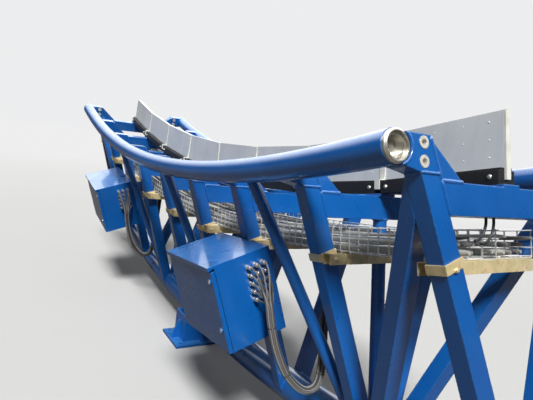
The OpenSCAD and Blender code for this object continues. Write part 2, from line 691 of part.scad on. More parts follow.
rail(-1);  // rail_near
rail(1);  // rail_far
rail_end_rings();
spine();
spine_flanges();
cross_beams();
heads(-1);  // heads_near
heads(1);  // heads_far
corner_wedges();
bolt_sleeves();
legs(-1);  // legs_near
legs(1);  // legs_far
end_braces();
round_braces(-1);  // round_braces_near
round_braces(1);  // round_braces_far
centre_posts();
foot_column();
base_plate();
stator_carriers();
stator_plates();
stator_caps();
tray_hoops();
tray_wires(-1);  // tray_wires_near
tray_wires(1);  // tray_wires_far
tray_cables(-1);  // tray_cables_near
tray_cables(1);  // tray_cables_far
tray_struts();
tray_straps();
black_leads();
box_case(2);  // box_a_case
box_door(2);  // box_a_door
box_bars(2);  // box_a_bars
box_glands(2);  // box_a_glands
box_terminals(2);  // box_a_terminals
box_cables(2);  // box_a_cables
box_case(-2);  // box_b_case
box_door(-2);  // box_b_door
box_bars(-2);  // box_b_bars
box_glands(-2);  // box_b_glands
box_terminals(-2);  // box_b_terminals
box_cables(-2);  // box_b_cables
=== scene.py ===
# %% [markdown]
# # A section of launch track, dressed around its packed frame
# The real object is about five metres of steel track: two bent rails on nine V-shaped frames, a row
# of plates along the middle and two wire trays full of cables between the legs. The frame already
# holds every part at its true size. This script gives each of them its finish, and adds what is too
# fine for the frame: round tray wires, single cables, weld beads, rivets, bolts and ties.

# %% Load the frame
import math

import bpy
import numpy as np
from mathutils import Matrix, Vector


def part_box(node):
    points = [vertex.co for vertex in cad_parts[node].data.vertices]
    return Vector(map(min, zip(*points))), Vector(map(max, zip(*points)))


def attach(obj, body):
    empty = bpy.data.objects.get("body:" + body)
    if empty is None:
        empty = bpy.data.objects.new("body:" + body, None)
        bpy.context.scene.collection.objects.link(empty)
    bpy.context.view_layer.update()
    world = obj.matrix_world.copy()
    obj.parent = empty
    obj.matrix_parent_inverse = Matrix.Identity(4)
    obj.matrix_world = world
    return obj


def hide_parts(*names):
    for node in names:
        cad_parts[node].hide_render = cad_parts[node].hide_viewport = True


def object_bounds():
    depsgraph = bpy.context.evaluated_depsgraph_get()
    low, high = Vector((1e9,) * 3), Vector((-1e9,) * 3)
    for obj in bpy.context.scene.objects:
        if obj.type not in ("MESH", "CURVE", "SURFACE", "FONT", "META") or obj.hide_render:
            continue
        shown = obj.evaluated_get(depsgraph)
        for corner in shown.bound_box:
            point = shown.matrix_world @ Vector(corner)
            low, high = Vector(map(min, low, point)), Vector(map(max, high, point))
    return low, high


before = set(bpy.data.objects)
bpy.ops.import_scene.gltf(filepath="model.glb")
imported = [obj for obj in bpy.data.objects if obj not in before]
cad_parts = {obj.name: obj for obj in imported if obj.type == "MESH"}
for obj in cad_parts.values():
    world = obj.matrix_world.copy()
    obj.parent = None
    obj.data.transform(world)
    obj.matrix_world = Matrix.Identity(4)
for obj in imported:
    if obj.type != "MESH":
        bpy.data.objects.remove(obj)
cad_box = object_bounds()
scene = bpy.context.scene

# %% [markdown]
# ## The camera
# The view is from just past the end of the section, a little above the rails and close to it, so the
# near rail runs away from the eye in a deep sag. The camera is rolled by some eight degrees, because
# the section leans in the view and stands upright here. A camera could be aimed with a constraint,
# but a matrix made from its sight line and its roll is plain to read and needs nothing else.

# %% Aim the camera
CAMERA_AT = np.array([3.066, -1.4275, 1.5689])
CAMERA_SIGHT = np.array([-0.8431, 0.5203, -0.1360])
CAMERA_ROLL = math.radians(7.9)
CAMERA_LENS = 31.69
UP = np.array([0.0, 0.0, 1.0])


def unit(v):
    """Each vector divided by its own length."""
    return v / np.linalg.norm(v, axis=-1, keepdims=True)


def aimed_camera(at, sight, roll, lens):
    """A camera at a point. Its right side is the level one turned about the sight line by the roll."""
    sight = unit(sight)
    level = unit(np.cross(sight, UP))
    right = level * math.cos(roll) + np.cross(level, sight) * math.sin(roll)
    camera = bpy.data.objects.new("camera", bpy.data.cameras.new("camera"))
    camera.data.lens = lens
    turn = Matrix(np.stack([right, np.cross(right, sight), -sight], 1).tolist()).to_4x4()
    camera.matrix_world = Matrix.Translation(Vector(at)) @ turn
    scene.collection.objects.link(camera)
    scene.camera = camera
    return camera


camera = aimed_camera(CAMERA_AT, CAMERA_SIGHT, CAMERA_ROLL, CAMERA_LENS)
print("camera", [round(v, 3) for v in camera.matrix_world.translation])

# %% [markdown]
# ## Lamps
# The light comes from high up beyond the end of the section, so that tops and end faces are lit and
# the near sides lie in soft shade. A large area lamp could do that, but it would be much stronger at
# the near end of so long an object. A sun lamp lights it evenly from end to end, and its wide disc
# softens the shadows. A weak area lamp opens the shade.

# %% Lamps
KEY_FROM, KEY_DISC, KEY_STRENGTH = (5.6, -3.0, 7.9), math.radians(13.0), 4.7
FILL_AT, FILL_SIZE, FILL_POWER = (2.5, -6.5, 3.2), 5.0, 6.0
AIM_AT = (0.0, 0.0, 0.9)


def aimed_lamp(name, kind, at, **settings):
    """A lamp of some kind at a point, turned to face the middle of the section."""
    lamp = bpy.data.lights.new(name, kind)
    for setting, value in settings.items():
        setattr(lamp, setting, value)
    holder = bpy.data.objects.new(name, lamp)
    holder.location = at
    holder.rotation_mode = "QUATERNION"
    holder.rotation_quaternion = (Vector(AIM_AT) - Vector(at)).to_track_quat("-Z", "Y")
    scene.collection.objects.link(holder)


aimed_lamp("key", "SUN", KEY_FROM, energy=KEY_STRENGTH, angle=KEY_DISC)
aimed_lamp("fill", "AREA", FILL_AT, energy=FILL_POWER, size=FILL_SIZE)
print("lamps:", ", ".join(lamp.name for lamp in bpy.data.lights))

# %% [markdown]
# ## Short ways to join nodes
# The world and every finish are trees of nodes. They could be laid out by hand in the Shader Editor,
# but each would then be a long list of steps. A small class keeps them short: it adds a node, sets
# its values and joins it to others in one call.

# %% Short ways to join nodes
class Nodes:
    """A tree of nodes, and short ways to add to it."""

    def __init__(self, tree):
        self.tree = tree

    def put(self, node, **values):
        """Sets inputs by name (Base_Color is Base Color) or number (i0), or links a given socket."""
        for name, value in values.items():
            socket = node.inputs[int(name[1:]) if name[0] == "i" else name.replace("_", " ")]
            if isinstance(value, bpy.types.NodeSocket):
                self.tree.links.new(value, socket)
            else:
                socket.default_value = value

    def add(self, kind, settings=None, **values):
        """A new node with its settings and inputs."""
        node = self.tree.nodes.new("ShaderNode" + kind)
        for name, value in (settings or {}).items():
            setattr(node, name, value)
        self.put(node, **values)
        return node


print("on a tree of nodes:", ", ".join(name for name in vars(Nodes) if name[0] != "_"))

# %% [markdown]
# ## A dome for the world
# The world could be one even grey, but glossy paint would then look flat. So it is a dome that is dim
# low down and bright overhead. Glossy surfaces mirror a stronger dome than the one that lights, which
# gives the round rails their pale upper edge, and the camera sees a plain pale backdrop. Light Path
# tells the three kinds of rays apart.

# %% A dome for the world
DOME_LIGHT, DOME_MIRRORED, BACKDROP = (0.11, 0.26), (0.05, 2.60), (0.86, 0.86)
DOME_AXIS, DOME_RAMP = (-0.31, 0.24, 0.92), (0.32, 0.72)
COOL_WHITE = (0.985, 0.99, 1.0, 1.0)


def dome(world, low, high):
    """A background whose strength goes from low to high towards an axis.

    The share is the direction's dot product with the axis, smoothed between the ends of a ramp. The
    axis leans away from the camera, so that tops seen at a low angle mirror the bright part.
    """
    direction = world.add("TexCoord").outputs["Generated"]
    share = world.add("VectorMath", {"operation": "DOT_PRODUCT"}, i0=direction, i1=DOME_AXIS)
    level = world.add("MapRange", {"interpolation_type": "SMOOTHSTEP"}, Value=share.outputs["Value"],
                      From_Min=DOME_RAMP[0], From_Max=DOME_RAMP[1], To_Min=low, To_Max=high)
    return world.add("Background", Color=COOL_WHITE, Strength=level.outputs["Result"]).outputs[0]


def studio_world(light, mirrored, seen):
    """A world of three domes: one lights, one is mirrored in gloss and one the camera sees."""
    scene.world = bpy.data.worlds.new("studio")
    scene.world.use_nodes = True
    world = Nodes(scene.world.node_tree)
    world.tree.nodes.clear()
    rays = world.add("LightPath").outputs
    so_far = dome(world, *light)
    for ray, levels in (("Is Glossy Ray", mirrored), ("Is Camera Ray", seen)):
        so_far = world.add("MixShader", i0=rays[ray], i1=so_far, i2=dome(world, *levels)).outputs[0]
    world.add("OutputWorld", Surface=so_far)


studio_world(DOME_LIGHT, DOME_MIRRORED, BACKDROP)
scene.view_settings.view_transform = "Standard"
print("dome from", DOME_LIGHT[0], "to", DOME_LIGHT[1], "and backdrop", BACKDROP[0])

# %% [markdown]
# ## Places along the valley
# What is added below is placed as the frame's own parts are: by an angle along the valley's arc, a
# distance across from the centre plane and a height over the rails' centre lines. Places could be
# snapped to the frame's meshes by hand, but sums in these terms put hundreds of small things right at
# once. Nine cross frames share out the arc, and the middle one stands 0.3 degrees off its lowest point.

# %% Places along the valley
RAIL_RADIUS, END_ANGLE, MID_SHIFT = 8.350, math.radians(14.934), math.radians(0.3)
BAYS, FRAME_T = 8, 0.060
FRAMES = np.arange(-BAYS // 2, BAYS // 2 + 1)
rail_low, rail_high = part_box("rail_far")
HALF_GAUGE, RAIL_D = (rail_low.y + rail_high.y) / 2, rail_high.y - rail_low.y
RAIL_HEIGHT = rail_low.z + RAIL_D / 2


def station(i):
    """Angle of cross frame i: the frames divide the arc evenly on either side of the middle one."""
    reach = np.where(np.asarray(i) < 0, END_ANGLE + MID_SHIFT, END_ANGLE - MID_SHIFT)
    return MID_SHIFT + reach * np.asarray(i) / (BAYS / 2)


def together(*parts):
    """Numbers and arrays spread to one shape and stacked as a last axis, such as x, y and z."""
    return np.stack(np.broadcast_arrays(*parts), -1)


def at(angle, points):
    """World places of points given along, across and up at an angle of the arc.

    A point swings about the arc's centre, which lies one radius above the valley's lowest point.
    """
    x, y, z = np.moveaxis(np.asarray(points, dtype=float), -1, 0)
    sine, cosine, reach = np.sin(angle), np.cos(angle), RAIL_RADIUS - z
    height = RAIL_HEIGHT + RAIL_RADIUS + x * sine - reach * cosine
    return together(x * cosine + reach * sine, y, height)


print(f"half gauge {HALF_GAUGE:.4f}, rail {RAIL_D:.4f}, height {RAIL_HEIGHT:.4f}")
print("frames at", np.degrees(station(FRAMES)).round(2), "degrees")

# %% [markdown]
# ## Finishes
# Every finish is a few nodes around one Principled shader. Pictures wrapped round the parts would need
# seams and turn blurred close to, and patterns made by nodes have neither fault. They all read Object
# coordinates, which are metres here, so a scale of 300 means grain of about three millimetres.
# Colours are written as they look on the screen, and nodes want linear values, so they are turned.

# %% Screen colours for nodes
def rgb(red, green, blue):
    """A colour given as screen values from 0 to 255, as the linear values that nodes use.

    A share above the toe is raised to 2.4 after it is moved by 0.055 and divided by 1.055.
    """
    s = np.array([red, green, blue]) / 255
    linear = np.where(s <= 0.04045, s / 12.92, ((s + 0.055) / 1.055) ** 2.4)
    return (*linear.tolist(), 1.0)


print("a grey of 128 on the screen is", round(rgb(128, 128, 128)[0], 3), "in a node")

# %% [markdown]
# ## A helper that builds finishes
# The finishes share a few patterns: patches of noise, a fine grain in relief, a mask along edges and
# one on tops. Node groups could hold them too, but methods of one class need no sockets of their own.

# %% A helper that builds finishes
class Finish(Nodes):
    """One material, its Principled shader and the patterns that the finishes share."""

    def __init__(self, name, **values):
        self.material = bpy.data.materials.new(name)
        self.material.use_nodes = True
        super().__init__(self.material.node_tree)
        self.shader = self.tree.nodes["Principled BSDF"]
        self.put(self.shader, **values)
        self.place = self.add("TexCoord").outputs["Object"]

    def times(self, a, b):
        """The product of two sockets or numbers."""
        return self.add("Math", {"operation": "MULTIPLY"}, i0=a, i1=b).outputs[0]

    def noise(self, scale, detail=3.0, stretch=(1, 1, 1)):
        """Noise over the object, from 0 to 1, squeezed along each axis by stretch."""
        place = self.add("Mapping", Vector=self.place, Scale=stretch).outputs[0]
        return self.add("TexNoise", Vector=place, Scale=scale, Detail=detail).outputs["Fac"]

    def between(self, value, low, high, out_low=0.0, out_high=1.0):
        """A value mapped from one range to another, with its ends held."""
        node = self.add("MapRange", {"clamp": True}, Value=value, From_Min=low, From_Max=high,
                        To_Min=out_low, To_Max=out_high)
        return node.outputs["Result"]

    def patches(self, scale, detail, low, high, out_low=0.0, out_high=1.0):
        """Noise mapped from one range to another, which leaves soft patches."""
        return self.between(self.noise(scale, detail), low, high, out_low, out_high)

    def blend(self, factor, a, b):
        """Two colours mixed by a factor."""
        node = self.add("Mix", {"data_type": "RGBA"}, i0=factor, i6=a, i7=b)
        return node.outputs[2]

    def bump(self, height, distance, strength=1.0, normal=None):
        """Relief of a height field, its distance in metres."""
        values = {"Height": height, "Distance": distance, "Strength": strength}
        if normal is not None:
            values["Normal"] = normal
        return self.add("Bump", **values).outputs[0]

    def grain(self, scale, distance, strength, normal=None):
        """Relief of a fine noise."""
        return self.bump(self.noise(scale, 2.0), distance, strength, normal)

    def rounded(self, radius):
        """The normal as if edges were rounded to a radius, and a mask of 1 along those edges."""
        soft = self.add("Bevel", {"samples": 4}, Radius=radius).outputs[0]
        true = self.add("NewGeometry").outputs["Normal"]
        node = self.add("VectorMath", {"operation": "DOT_PRODUCT"}, i0=soft, i1=true)
        return soft, self.between(node.outputs["Value"], 1.0, 0.80)

    def upward(self):
        """How far a surface faces up, from 0 on a wall to 1 on a top."""
        normal = self.add("NewGeometry").outputs["Normal"]
        z = self.add("SeparateXYZ", Vector=normal).outputs["Z"]
        return self.between(z, 0.3, 1.0)


print("for a finish:", ", ".join(name for name in vars(Finish) if name[0] != "_"))

# %% [markdown]
# ## Blue paint
# All the steelwork has one thick gloss coat of blue. It is even from afar, but close to it shows the
# faint ripple of sprayed paint. Faces that look up are painted a paler, brighter blue in patches, which
# is painted light for sun and sky on the tops. Sharp edges are painted pale: partly paint worn thin,
# partly a painted highlight. The edges could be cut with a Bevel modifier, but the frame's meshes are
# left as they are, so the Bevel node supplies both the rounded glint of an edge and the mask for it.

# %% Blue paint
PAINT = rgb(10, 93, 170)
PAINT_DEEP = rgb(8, 82, 155)
# The next colour is painted pale along edges: partly worn paint, partly a painted highlight.
PAINT_WORN_AND_GLINT = rgb(110, 165, 215)
# The next colour is painted light: a paler, brighter blue for sun and sky on upward faces.
PAINT_LIT_TOP = rgb(92, 172, 238)


def painted(name, edge_radius):
    """Gloss spray paint: mottled, rippled, painted light on tops, edges part worn, part painted
    highlight.
    """
    f = Finish(name, Metallic=0.0, Coat_Weight=0.7, Coat_Roughness=0.08)
    soft, edges = f.rounded(edge_radius)
    color = f.blend(f.patches(2.3, 4.0, 0.35, 0.65), PAINT_DEEP, PAINT)
    # Painted light: upward faces turn paler and brighter in patches, as if lit by sun and sky.
    painted_top_light = f.times(f.upward(), f.patches(14.0, 6.0, 0.40, 0.75, 0.10, 0.36))
    color = f.blend(painted_top_light, color, PAINT_LIT_TOP)
    # Edges turn pale in patches: partly paint worn thin, partly a painted highlight on the rounded
    # edge.
    edge_wear_and_glint = f.times(edges, f.patches(60.0, 4.0, 0.45, 0.70, 0.05, 0.45))
    color = f.blend(edge_wear_and_glint, color, PAINT_WORN_AND_GLINT)
    ripple = f.grain(260.0, 0.0002, 0.35, soft)
    f.put(f.shader, Base_Color=color, Normal=ripple,
          Roughness=f.patches(9.0, 5.0, 0.3, 0.7, 0.24, 0.40))
    return f.material


blue_paint = painted("blue_paint", 0.006)
box_paint = painted("box_paint", 0.0015)
print("two blues:", blue_paint.name, "and", box_paint.name)

# %% [markdown]
# ## Machined steel
# The rails end in turned rings, and a cutting tool leaves fine circles round each ring's own axis.
# They could be cut into the mesh, but they are finer than a hair, so relief in the finish is enough.
# The four rings mirror each other, so the size of x and of y folds them onto one, and the distance
# from that one's axis then feeds a one-dimensional noise. The sleeves for the joint's bolts are steel
# too, but only masked from the paint and left matt.

# %% Machined steel
def turned_steel():
    """Pale steel with turning marks round the axis of the folded ring."""
    f = Finish("machined_steel", Metallic=0.75)
    folded = f.add("VectorMath", {"operation": "ABSOLUTE"}, i0=f.place).outputs[0]
    middle = (RAIL_RADIUS * math.sin(END_ANGLE), HALF_GAUGE,
              RAIL_HEIGHT + RAIL_RADIUS * (1 - math.cos(END_ANGLE)))
    shifted = f.add("VectorMath", {"operation": "SUBTRACT"}, i0=folded, i1=middle).outputs[0]
    level = f.add("VectorRotate", {"rotation_type": "Y_AXIS"}, Vector=shifted,
                  Angle=END_ANGLE).outputs[0]
    flat = f.add("VectorMath", {"operation": "MULTIPLY"}, i0=level, i1=(0, 1, 1)).outputs[0]
    radius = f.add("VectorMath", {"operation": "LENGTH"}, i0=flat).outputs["Value"]
    marks = f.add("TexNoise", {"noise_dimensions": "1D"}, W=radius, Scale=900.0,
                  Detail=2.0).outputs["Fac"]
    stain = f.patches(35.0, 5.0, 0.45, 0.75)
    color = f.blend(stain, rgb(200, 197, 188), rgb(172, 166, 154))
    soft, _ = f.rounded(0.0012)
    f.put(f.shader, Base_Color=color, Normal=f.bump(marks, 0.0001, 0.5, soft),
          Roughness=f.between(marks, 0.3, 0.7, 0.22, 0.38))
    return f.material


def bare_sleeves():
    """Bare steel kept from paint, matt and almost cream, with a little brown stain."""
    f = Finish("pale_steel", Metallic=0.35)
    stain = f.patches(60.0, 4.0, 0.45, 0.80, 0.0, 0.6)
    f.put(f.shader, Base_Color=f.blend(stain, rgb(226, 224, 214), rgb(176, 160, 138)),
          Roughness=f.between(stain, 0.0, 1.0, 0.36, 0.55), Normal=f.rounded(0.0012)[0])
    return f.material


machined_steel, pale_steel = turned_steel(), bare_sleeves()
print("steels:", machined_steel.name, "and", pale_steel.name)

# %% [markdown]
# ## Plates, caps and carriers
# The plates along the middle are clad in a thin sheet of bare metal that has dulled outdoors, with
# faint streaks running down. The streaks could be painted by hand, but noise squeezed along one axis
# draws them over all eight plates without a repeat. The end caps are cast in a pale resin, and the
# carriers under them are painted a half-matt black that picks up dust.

# %% Plates, caps and carriers
def dulled_sheet():
    """Bare sheet metal: cool grey with cloudy patches and thin streaks running down."""
    f = Finish("stator_metal", Metallic=0.25)
    cloud = f.patches(5.0, 5.0, 0.3, 0.7)
    streak = f.between(f.noise(45.0, 3.0, stretch=(1, 1, 0.08)), 0.50, 0.80, 0.0, 0.35)
    color = f.blend(cloud, rgb(222, 227, 231), rgb(232, 235, 237))
    color = f.blend(streak, color, rgb(204, 209, 214))
    soft, _ = f.rounded(0.0012)
    f.put(f.shader, Base_Color=color, Normal=f.grain(420.0, 0.0001, 0.3, soft),
          Roughness=f.between(cloud, 0.0, 1.0, 0.36, 0.50))
    return f.material


def pale_resin():
    """Off-white cast resin with a cloudy tone and a fine pitted skin."""
    f = Finish("white_cap", Metallic=0.0)
    color = f.blend(f.patches(18.0, 4.0, 0.35, 0.7), rgb(228, 228, 220), rgb(206, 206, 196))
    f.put(f.shader, Base_Color=color, Normal=f.grain(500.0, 0.0002, 0.4),
          Roughness=f.patches(30.0, 3.0, 0.3, 0.7, 0.42, 0.58))
    return f.material


def half_matt_black():
    """Black paint, greyer where dust lies on top and along worn edges."""
    f = Finish("black_paint", Metallic=0.0)
    soft, edges = f.rounded(0.0015)
    dust = f.times(f.upward(), f.patches(22.0, 6.0, 0.4, 0.7, 0.1, 0.5))
    color = f.blend(dust, rgb(17, 18, 20), rgb(96, 96, 94))
    color = f.blend(f.times(edges, 0.25), color, rgb(110, 112, 116))
    f.put(f.shader, Base_Color=color, Normal=f.grain(330.0, 0.0002, 0.4, soft),
          Roughness=f.patches(12.0, 4.0, 0.3, 0.7, 0.42, 0.60))
    return f.material


stator_metal, white_cap, black_paint = dulled_sheet(), pale_resin(), half_matt_black()
print("finishes so far:", len(bpy.data.materials))

# %% [markdown]
# ## Zinc and nickel
# Three coatings on small steel parts look quite different. One metal in three tints would do from
# afar, but near by each has a pattern of its own. Hot-dip zinc on the tray's wires is a bright grey
# with a patchwork of crystals. The brackets have yellow passivated zinc, which drifts between straw,
# olive and a rosy tint; its edges are blended to a pale cream as a painted highlight. The cable glands
# are nickel, warmer and smoother than both.

# %% Zinc and nickel
def galvanised():
    """Bright zinc: each crystal of a cell pattern has a slightly different grey and gloss."""
    f = Finish("galvanised_wire", Metallic=0.80)
    cells = f.add("TexVoronoi", Vector=f.place, Scale=160.0).outputs["Color"]
    grey = f.add("SeparateColor", Color=cells).outputs[0]
    f.put(f.shader, Base_Color=f.blend(grey, rgb(232, 233, 233), rgb(246, 246, 243)),
          Roughness=f.between(grey, 0.0, 1.0, 0.26, 0.42),
          Normal=f.grain(300.0, 0.0001, 0.3))
    return f.material


def yellow_passivated():
    """Yellow zinc drifting from straw to olive, with rosy traces and a painted highlight on edges."""
    f = Finish("yellow_zinc", Metallic=0.35)
    soft, edges = f.rounded(0.0015)
    color = f.blend(f.patches(22.0, 4.0, 0.35, 0.65), rgb(232, 212, 164),
                    rgb(208, 192, 142))
    color = f.blend(f.patches(48.0, 3.0, 0.56, 0.72, 0.0, 0.7), color, rgb(208, 158, 118))
    # Painted highlight: edges are blended towards a pale cream, standing for glints along them.
    color = f.blend(f.times(edges, 0.8), color, rgb(246, 238, 218))
    f.put(f.shader, Base_Color=color, Normal=soft,
          Roughness=f.patches(90.0, 3.0, 0.3, 0.7, 0.30, 0.46))
    return f.material


def nickel_plate():
    """Nickel: warm grey metal, smooth, with faint cloudy handling marks."""
    f = Finish("nickel", Metallic=0.8)
    cloud = f.patches(120.0, 3.0, 0.35, 0.7)
    f.put(f.shader, Base_Color=f.blend(cloud, rgb(236, 233, 226), rgb(212, 206, 196)),
          Roughness=f.between(cloud, 0.0, 1.0, 0.18, 0.34))
    return f.material


galvanised_wire, yellow_zinc, nickel = galvanised(), yellow_passivated(), nickel_plate()
print("finishes so far:", len(bpy.data.materials))

# %% [markdown]
# ## Plastics
# Cable jackets are soft plastic with a slight sheen and a little dirt. The grey ones come from several
# reels, so each has a tone of its own. A material for each tone would do it too, but it is simpler to
# let the mesh carry the tone as an attribute and one finish read it. The terminals in the boxes are
# harder plastic, clouded between two greys.

# %% Plastics
TONE = "tone"


def jacket(name, dark, light):
    """Soft plastic between two greys by the mesh's own tone, under specks of dirt."""
    f = Finish(name, Metallic=0.0, Specular_IOR_Level=0.35)
    tone = f.add("Attribute", {"attribute_name": TONE}).outputs["Fac"]
    color = f.blend(tone, dark, light)
    dirt = f.patches(55.0, 5.0, 0.52, 0.80, 0.0, 0.45)
    f.put(f.shader, Base_Color=f.blend(dirt, color, rgb(96, 92, 86)),
          Roughness=f.patches(30.0, 3.0, 0.3, 0.7, 0.48, 0.64),
          Normal=f.grain(240.0, 0.0002, 0.3))
    return f.material


def plain_plastic(name, color, other, scale, roughness):
    """Moulded plastic: two close colours clouded together and a faint grain."""
    f = Finish(name, Metallic=0.0)
    cloud = f.between(f.noise(scale, 4.0), 0.35, 0.70)
    f.put(f.shader, Base_Color=f.blend(cloud, color, other),
          Roughness=f.between(cloud, 0.0, 1.0, roughness, roughness + 0.14),
          Normal=f.grain(450.0, 0.0001, 0.4))
    return f.material


grey_cable = jacket("grey_cable", rgb(84, 85, 86), rgb(188, 188, 182))
# Painted shade: the box cables get a darker copy of the same grey jacket, for the shade they hang in.
shaded_grey_cable = jacket("shaded_grey_cable", rgb(54, 54, 56), rgb(142, 140, 137))
black_cable = plain_plastic("black_cable", rgb(20, 20, 22), rgb(44, 44, 46), 60.0, 0.34)
terminal_grey = plain_plastic("terminal_grey", rgb(140, 144, 148), rgb(170, 172, 174), 25.0, 0.45)
print("finishes so far:", len(bpy.data.materials))

# %% [markdown]
# ## Give every node its finish
# One table joins finishes to nodes. A node keeps its mesh, and only the materials in its slots change.
# The meshes could be copied and dressed, but then the frame's own names and places would be lost.

# %% Dress the nodes
NODE_FINISH = {
    blue_paint: ["rail_near", "rail_far", "spine", "spine_flanges", "cross_beams", "heads_near",
                 "heads_far", "corner_wedges", "legs_near", "legs_far", "end_braces",
                 "round_braces_near", "round_braces_far", "centre_posts", "foot_column",
                 "base_plate", "box_a_bars", "box_b_bars"],
    box_paint: ["box_a_case", "box_a_door", "box_b_case", "box_b_door"],
    machined_steel: ["rail_end_rings"],
    pale_steel: ["bolt_sleeves"],
    stator_metal: ["stator_plates"],
    white_cap: ["stator_caps"],
    black_paint: ["stator_carriers"],
    galvanised_wire: ["tray_hoops", "tray_wires_near", "tray_wires_far"],
    yellow_zinc: ["tray_struts", "tray_straps"],
    grey_cable: ["tray_cables_near", "tray_cables_far", "box_a_cables", "box_b_cables"],
    black_cable: ["black_leads"],
    nickel: ["box_a_glands", "box_b_glands"],
    terminal_grey: ["box_a_terminals", "box_b_terminals"],
}
for finish, names in NODE_FINISH.items():
    for name in names:
        for material_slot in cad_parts[name].material_slots:
            material_slot.material = finish
dressed = sum(len(names) for names in NODE_FINISH.values())
print(f"{dressed} of {len(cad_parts)} nodes have a finish")

# %% [markdown]
# ## Paths
# Wires, cables and weld beads all follow paths. Curve objects could carry them, but each would be a
# piece of its own, so a path here is an array of points. It is smoothed through a few knots, and a
# normal is carried along it. Only the steps along a path are a loop: each step carries the last normal
# on and takes away its part along the new direction, so that what is built on it never twists.

# %% Paths
def smooth_path(knots, steps):
    """A curve through knots, with steps points to each stretch between two of them.

    Between knots b and c it is a cubic in t. It leaves b along half the step from a to c, and comes
    in to c along half the step from b to d.
    """
    knots = np.asarray(knots, dtype=float)
    before = 2 * knots[..., :1, :] - knots[..., 1:2, :]
    beyond = 2 * knots[..., -1:, :] - knots[..., -2:-1, :]
    k = np.concatenate([before, knots, beyond], -2)
    a, b, c, d = (k[..., i:i + knots.shape[-2] - 1, None, :] for i in range(4))
    t = (np.arange(steps) / steps)[:, None]
    curve = b + 0.5 * t * (c - a + t * (2 * a - 5 * b + 4 * c - d + t * (3 * (b - c) + d - a)))
    flat = curve.reshape(*knots.shape[:-2], -1, 3)
    return np.concatenate([flat, knots[..., -1:, :]], -2)


def carried(tangents, start):
    """Normals along paths, each one the last with its part along the new tangent taken away."""
    normals = np.empty_like(tangents)
    last = np.broadcast_to(np.asarray(start, dtype=float), tangents[:, 0].shape)
    for step in range(tangents.shape[1]):
        t = tangents[:, step]
        last = unit(last - (last * t).sum(-1, keepdims=True) * t)
        normals[:, step] = last
    return normals


print("two knots in three steps:", smooth_path([(0, 0, 0), (3, 0, 0)], 3)[:, 0])

# %% [markdown]
# ## Tubes
# Blender can give a curve a round bevel, but a tray has hundreds of wires. Here a whole stack of paths
# of equal length goes through NumPy at once and comes back as one closed mesh.

# %% Tubes
def turns(count):
    """Angles that share out a full turn evenly, from 0."""
    return np.arange(count) * 2 * np.pi / count


def about(axis, first, turn):
    """A direction square to an axis, turned about that axis.

    It is the turn's cosine times the first direction, plus its sine times the axis crossed with it.
    """
    return np.cos(turn) * first + np.sin(turn) * np.cross(axis, first)


def ring_faces(count, rows, sides):
    """Walls between neighbouring rings of count equal stacks, and the two end faces of each."""
    side, row = np.arange(sides), np.arange(rows - 1)[:, None] * sides
    after = (side + 1) % sides
    wall = together(row + side, row + after, row + sides + after, row + sides + side).reshape(-1, 4)
    ends = np.stack([side[::-1], (rows - 1) * sides + side])
    first = (np.arange(count) * rows * sides)[:, None, None]
    return [(wall + first).reshape(-1, 4), (ends + first).reshape(-1, sides)]


def tubes(paths, radius, sides=8, start=(0, 1, 0.2)):
    """Closed tubes along a stack of paths: points, and their walls and end faces.

    A point of a ring is the path's point plus the radius times its normal, turned about the tangent.
    """
    paths = np.asarray(paths, dtype=float)
    count, rows = paths.shape[:2]
    t = unit(np.gradient(paths, axis=1))
    n = carried(t, start)
    around = about(t[:, :, None], n[:, :, None], turns(sides)[:, None])
    reach = np.broadcast_to(radius, (count, rows))[..., None, None]
    points = paths[:, :, None] + reach * around
    return points.reshape(-1, 3), ring_faces(count, rows, sides)


print("a tube of 3 rings and 8 sides has", len(tubes(np.eye(3)[None], 0.1)[0]), "points")

# %% [markdown]
# ## Turned parts and slabs
# Rivets and bolts are profiles spun round an axis: many sides make a washer, six a hexagon head and
# three the key of a lock. Folded sheet and cover strips are flat outlines given a thickness. Both
# could be stock cylinders and cubes, but a profile also gives the rounded rim and the step.

# %% Turned parts and slabs
def turned(places, axes, profile, sides=12):
    """Small parts spun round axes, from a profile of radius and height.

    A ring's point is the place, plus the height along the axis, plus the radius times a direction
    turned about the axis. That direction starts level, or square to x where the axis is upright.
    """
    places, axes = np.broadcast_arrays(np.asarray(places, dtype=float), unit(axes))
    places, axes = places.reshape(-1, 3), axes.reshape(-1, 3)
    first = unit(np.cross(axes, np.where(np.abs(axes[:, 2:]) > 0.9, (1.0, 0, 0), (0, 0, 1.0))))
    around = about(axes[:, None], first[:, None], turns(sides)[:, None])
    radius, height = np.asarray(profile, dtype=float).T[:, None, :, None, None]
    points = places[:, None, None] + height * axes[:, None, None] + radius * around[:, None]
    return points.reshape(-1, 3), ring_faces(len(places), len(profile), sides)


def slab(outline, along):
    """A flat outline given a thickness along a vector: a wall of quads and two caps.

    The outline is turned round where its own normal points against the vector, so faces look out.
    """
    outline, along = np.asarray(outline, dtype=float), np.asarray(along, dtype=float)
    if np.dot(np.cross(outline[1] - outline[0], outline[2] - outline[0]), along) < 0:
        outline = outline[::-1]
    k = np.arange(len(outline))
    after = (k + 1) % len(k)
    wall = together(k, after, after + len(k), k + len(k))
    return np.concatenate([outline, outline + along]), [wall, np.stack([k[::-1], k + len(k)])]


print("a slab of three corners has", sum(map(len, slab(np.eye(3), (1, 1, 1))[1])), "faces")

# %% [markdown]
# ## From points to a piece
# What the functions return is points and faces, and several of them can share one mesh. It could be
# filled with from_pydata, but that walks through lists. The call foreach_set takes whole arrays, and
# so it stays quick with a hundred thousand faces.
# Each new object then rides on its body, gets its slot and hides the plainer nodes it stands in for.

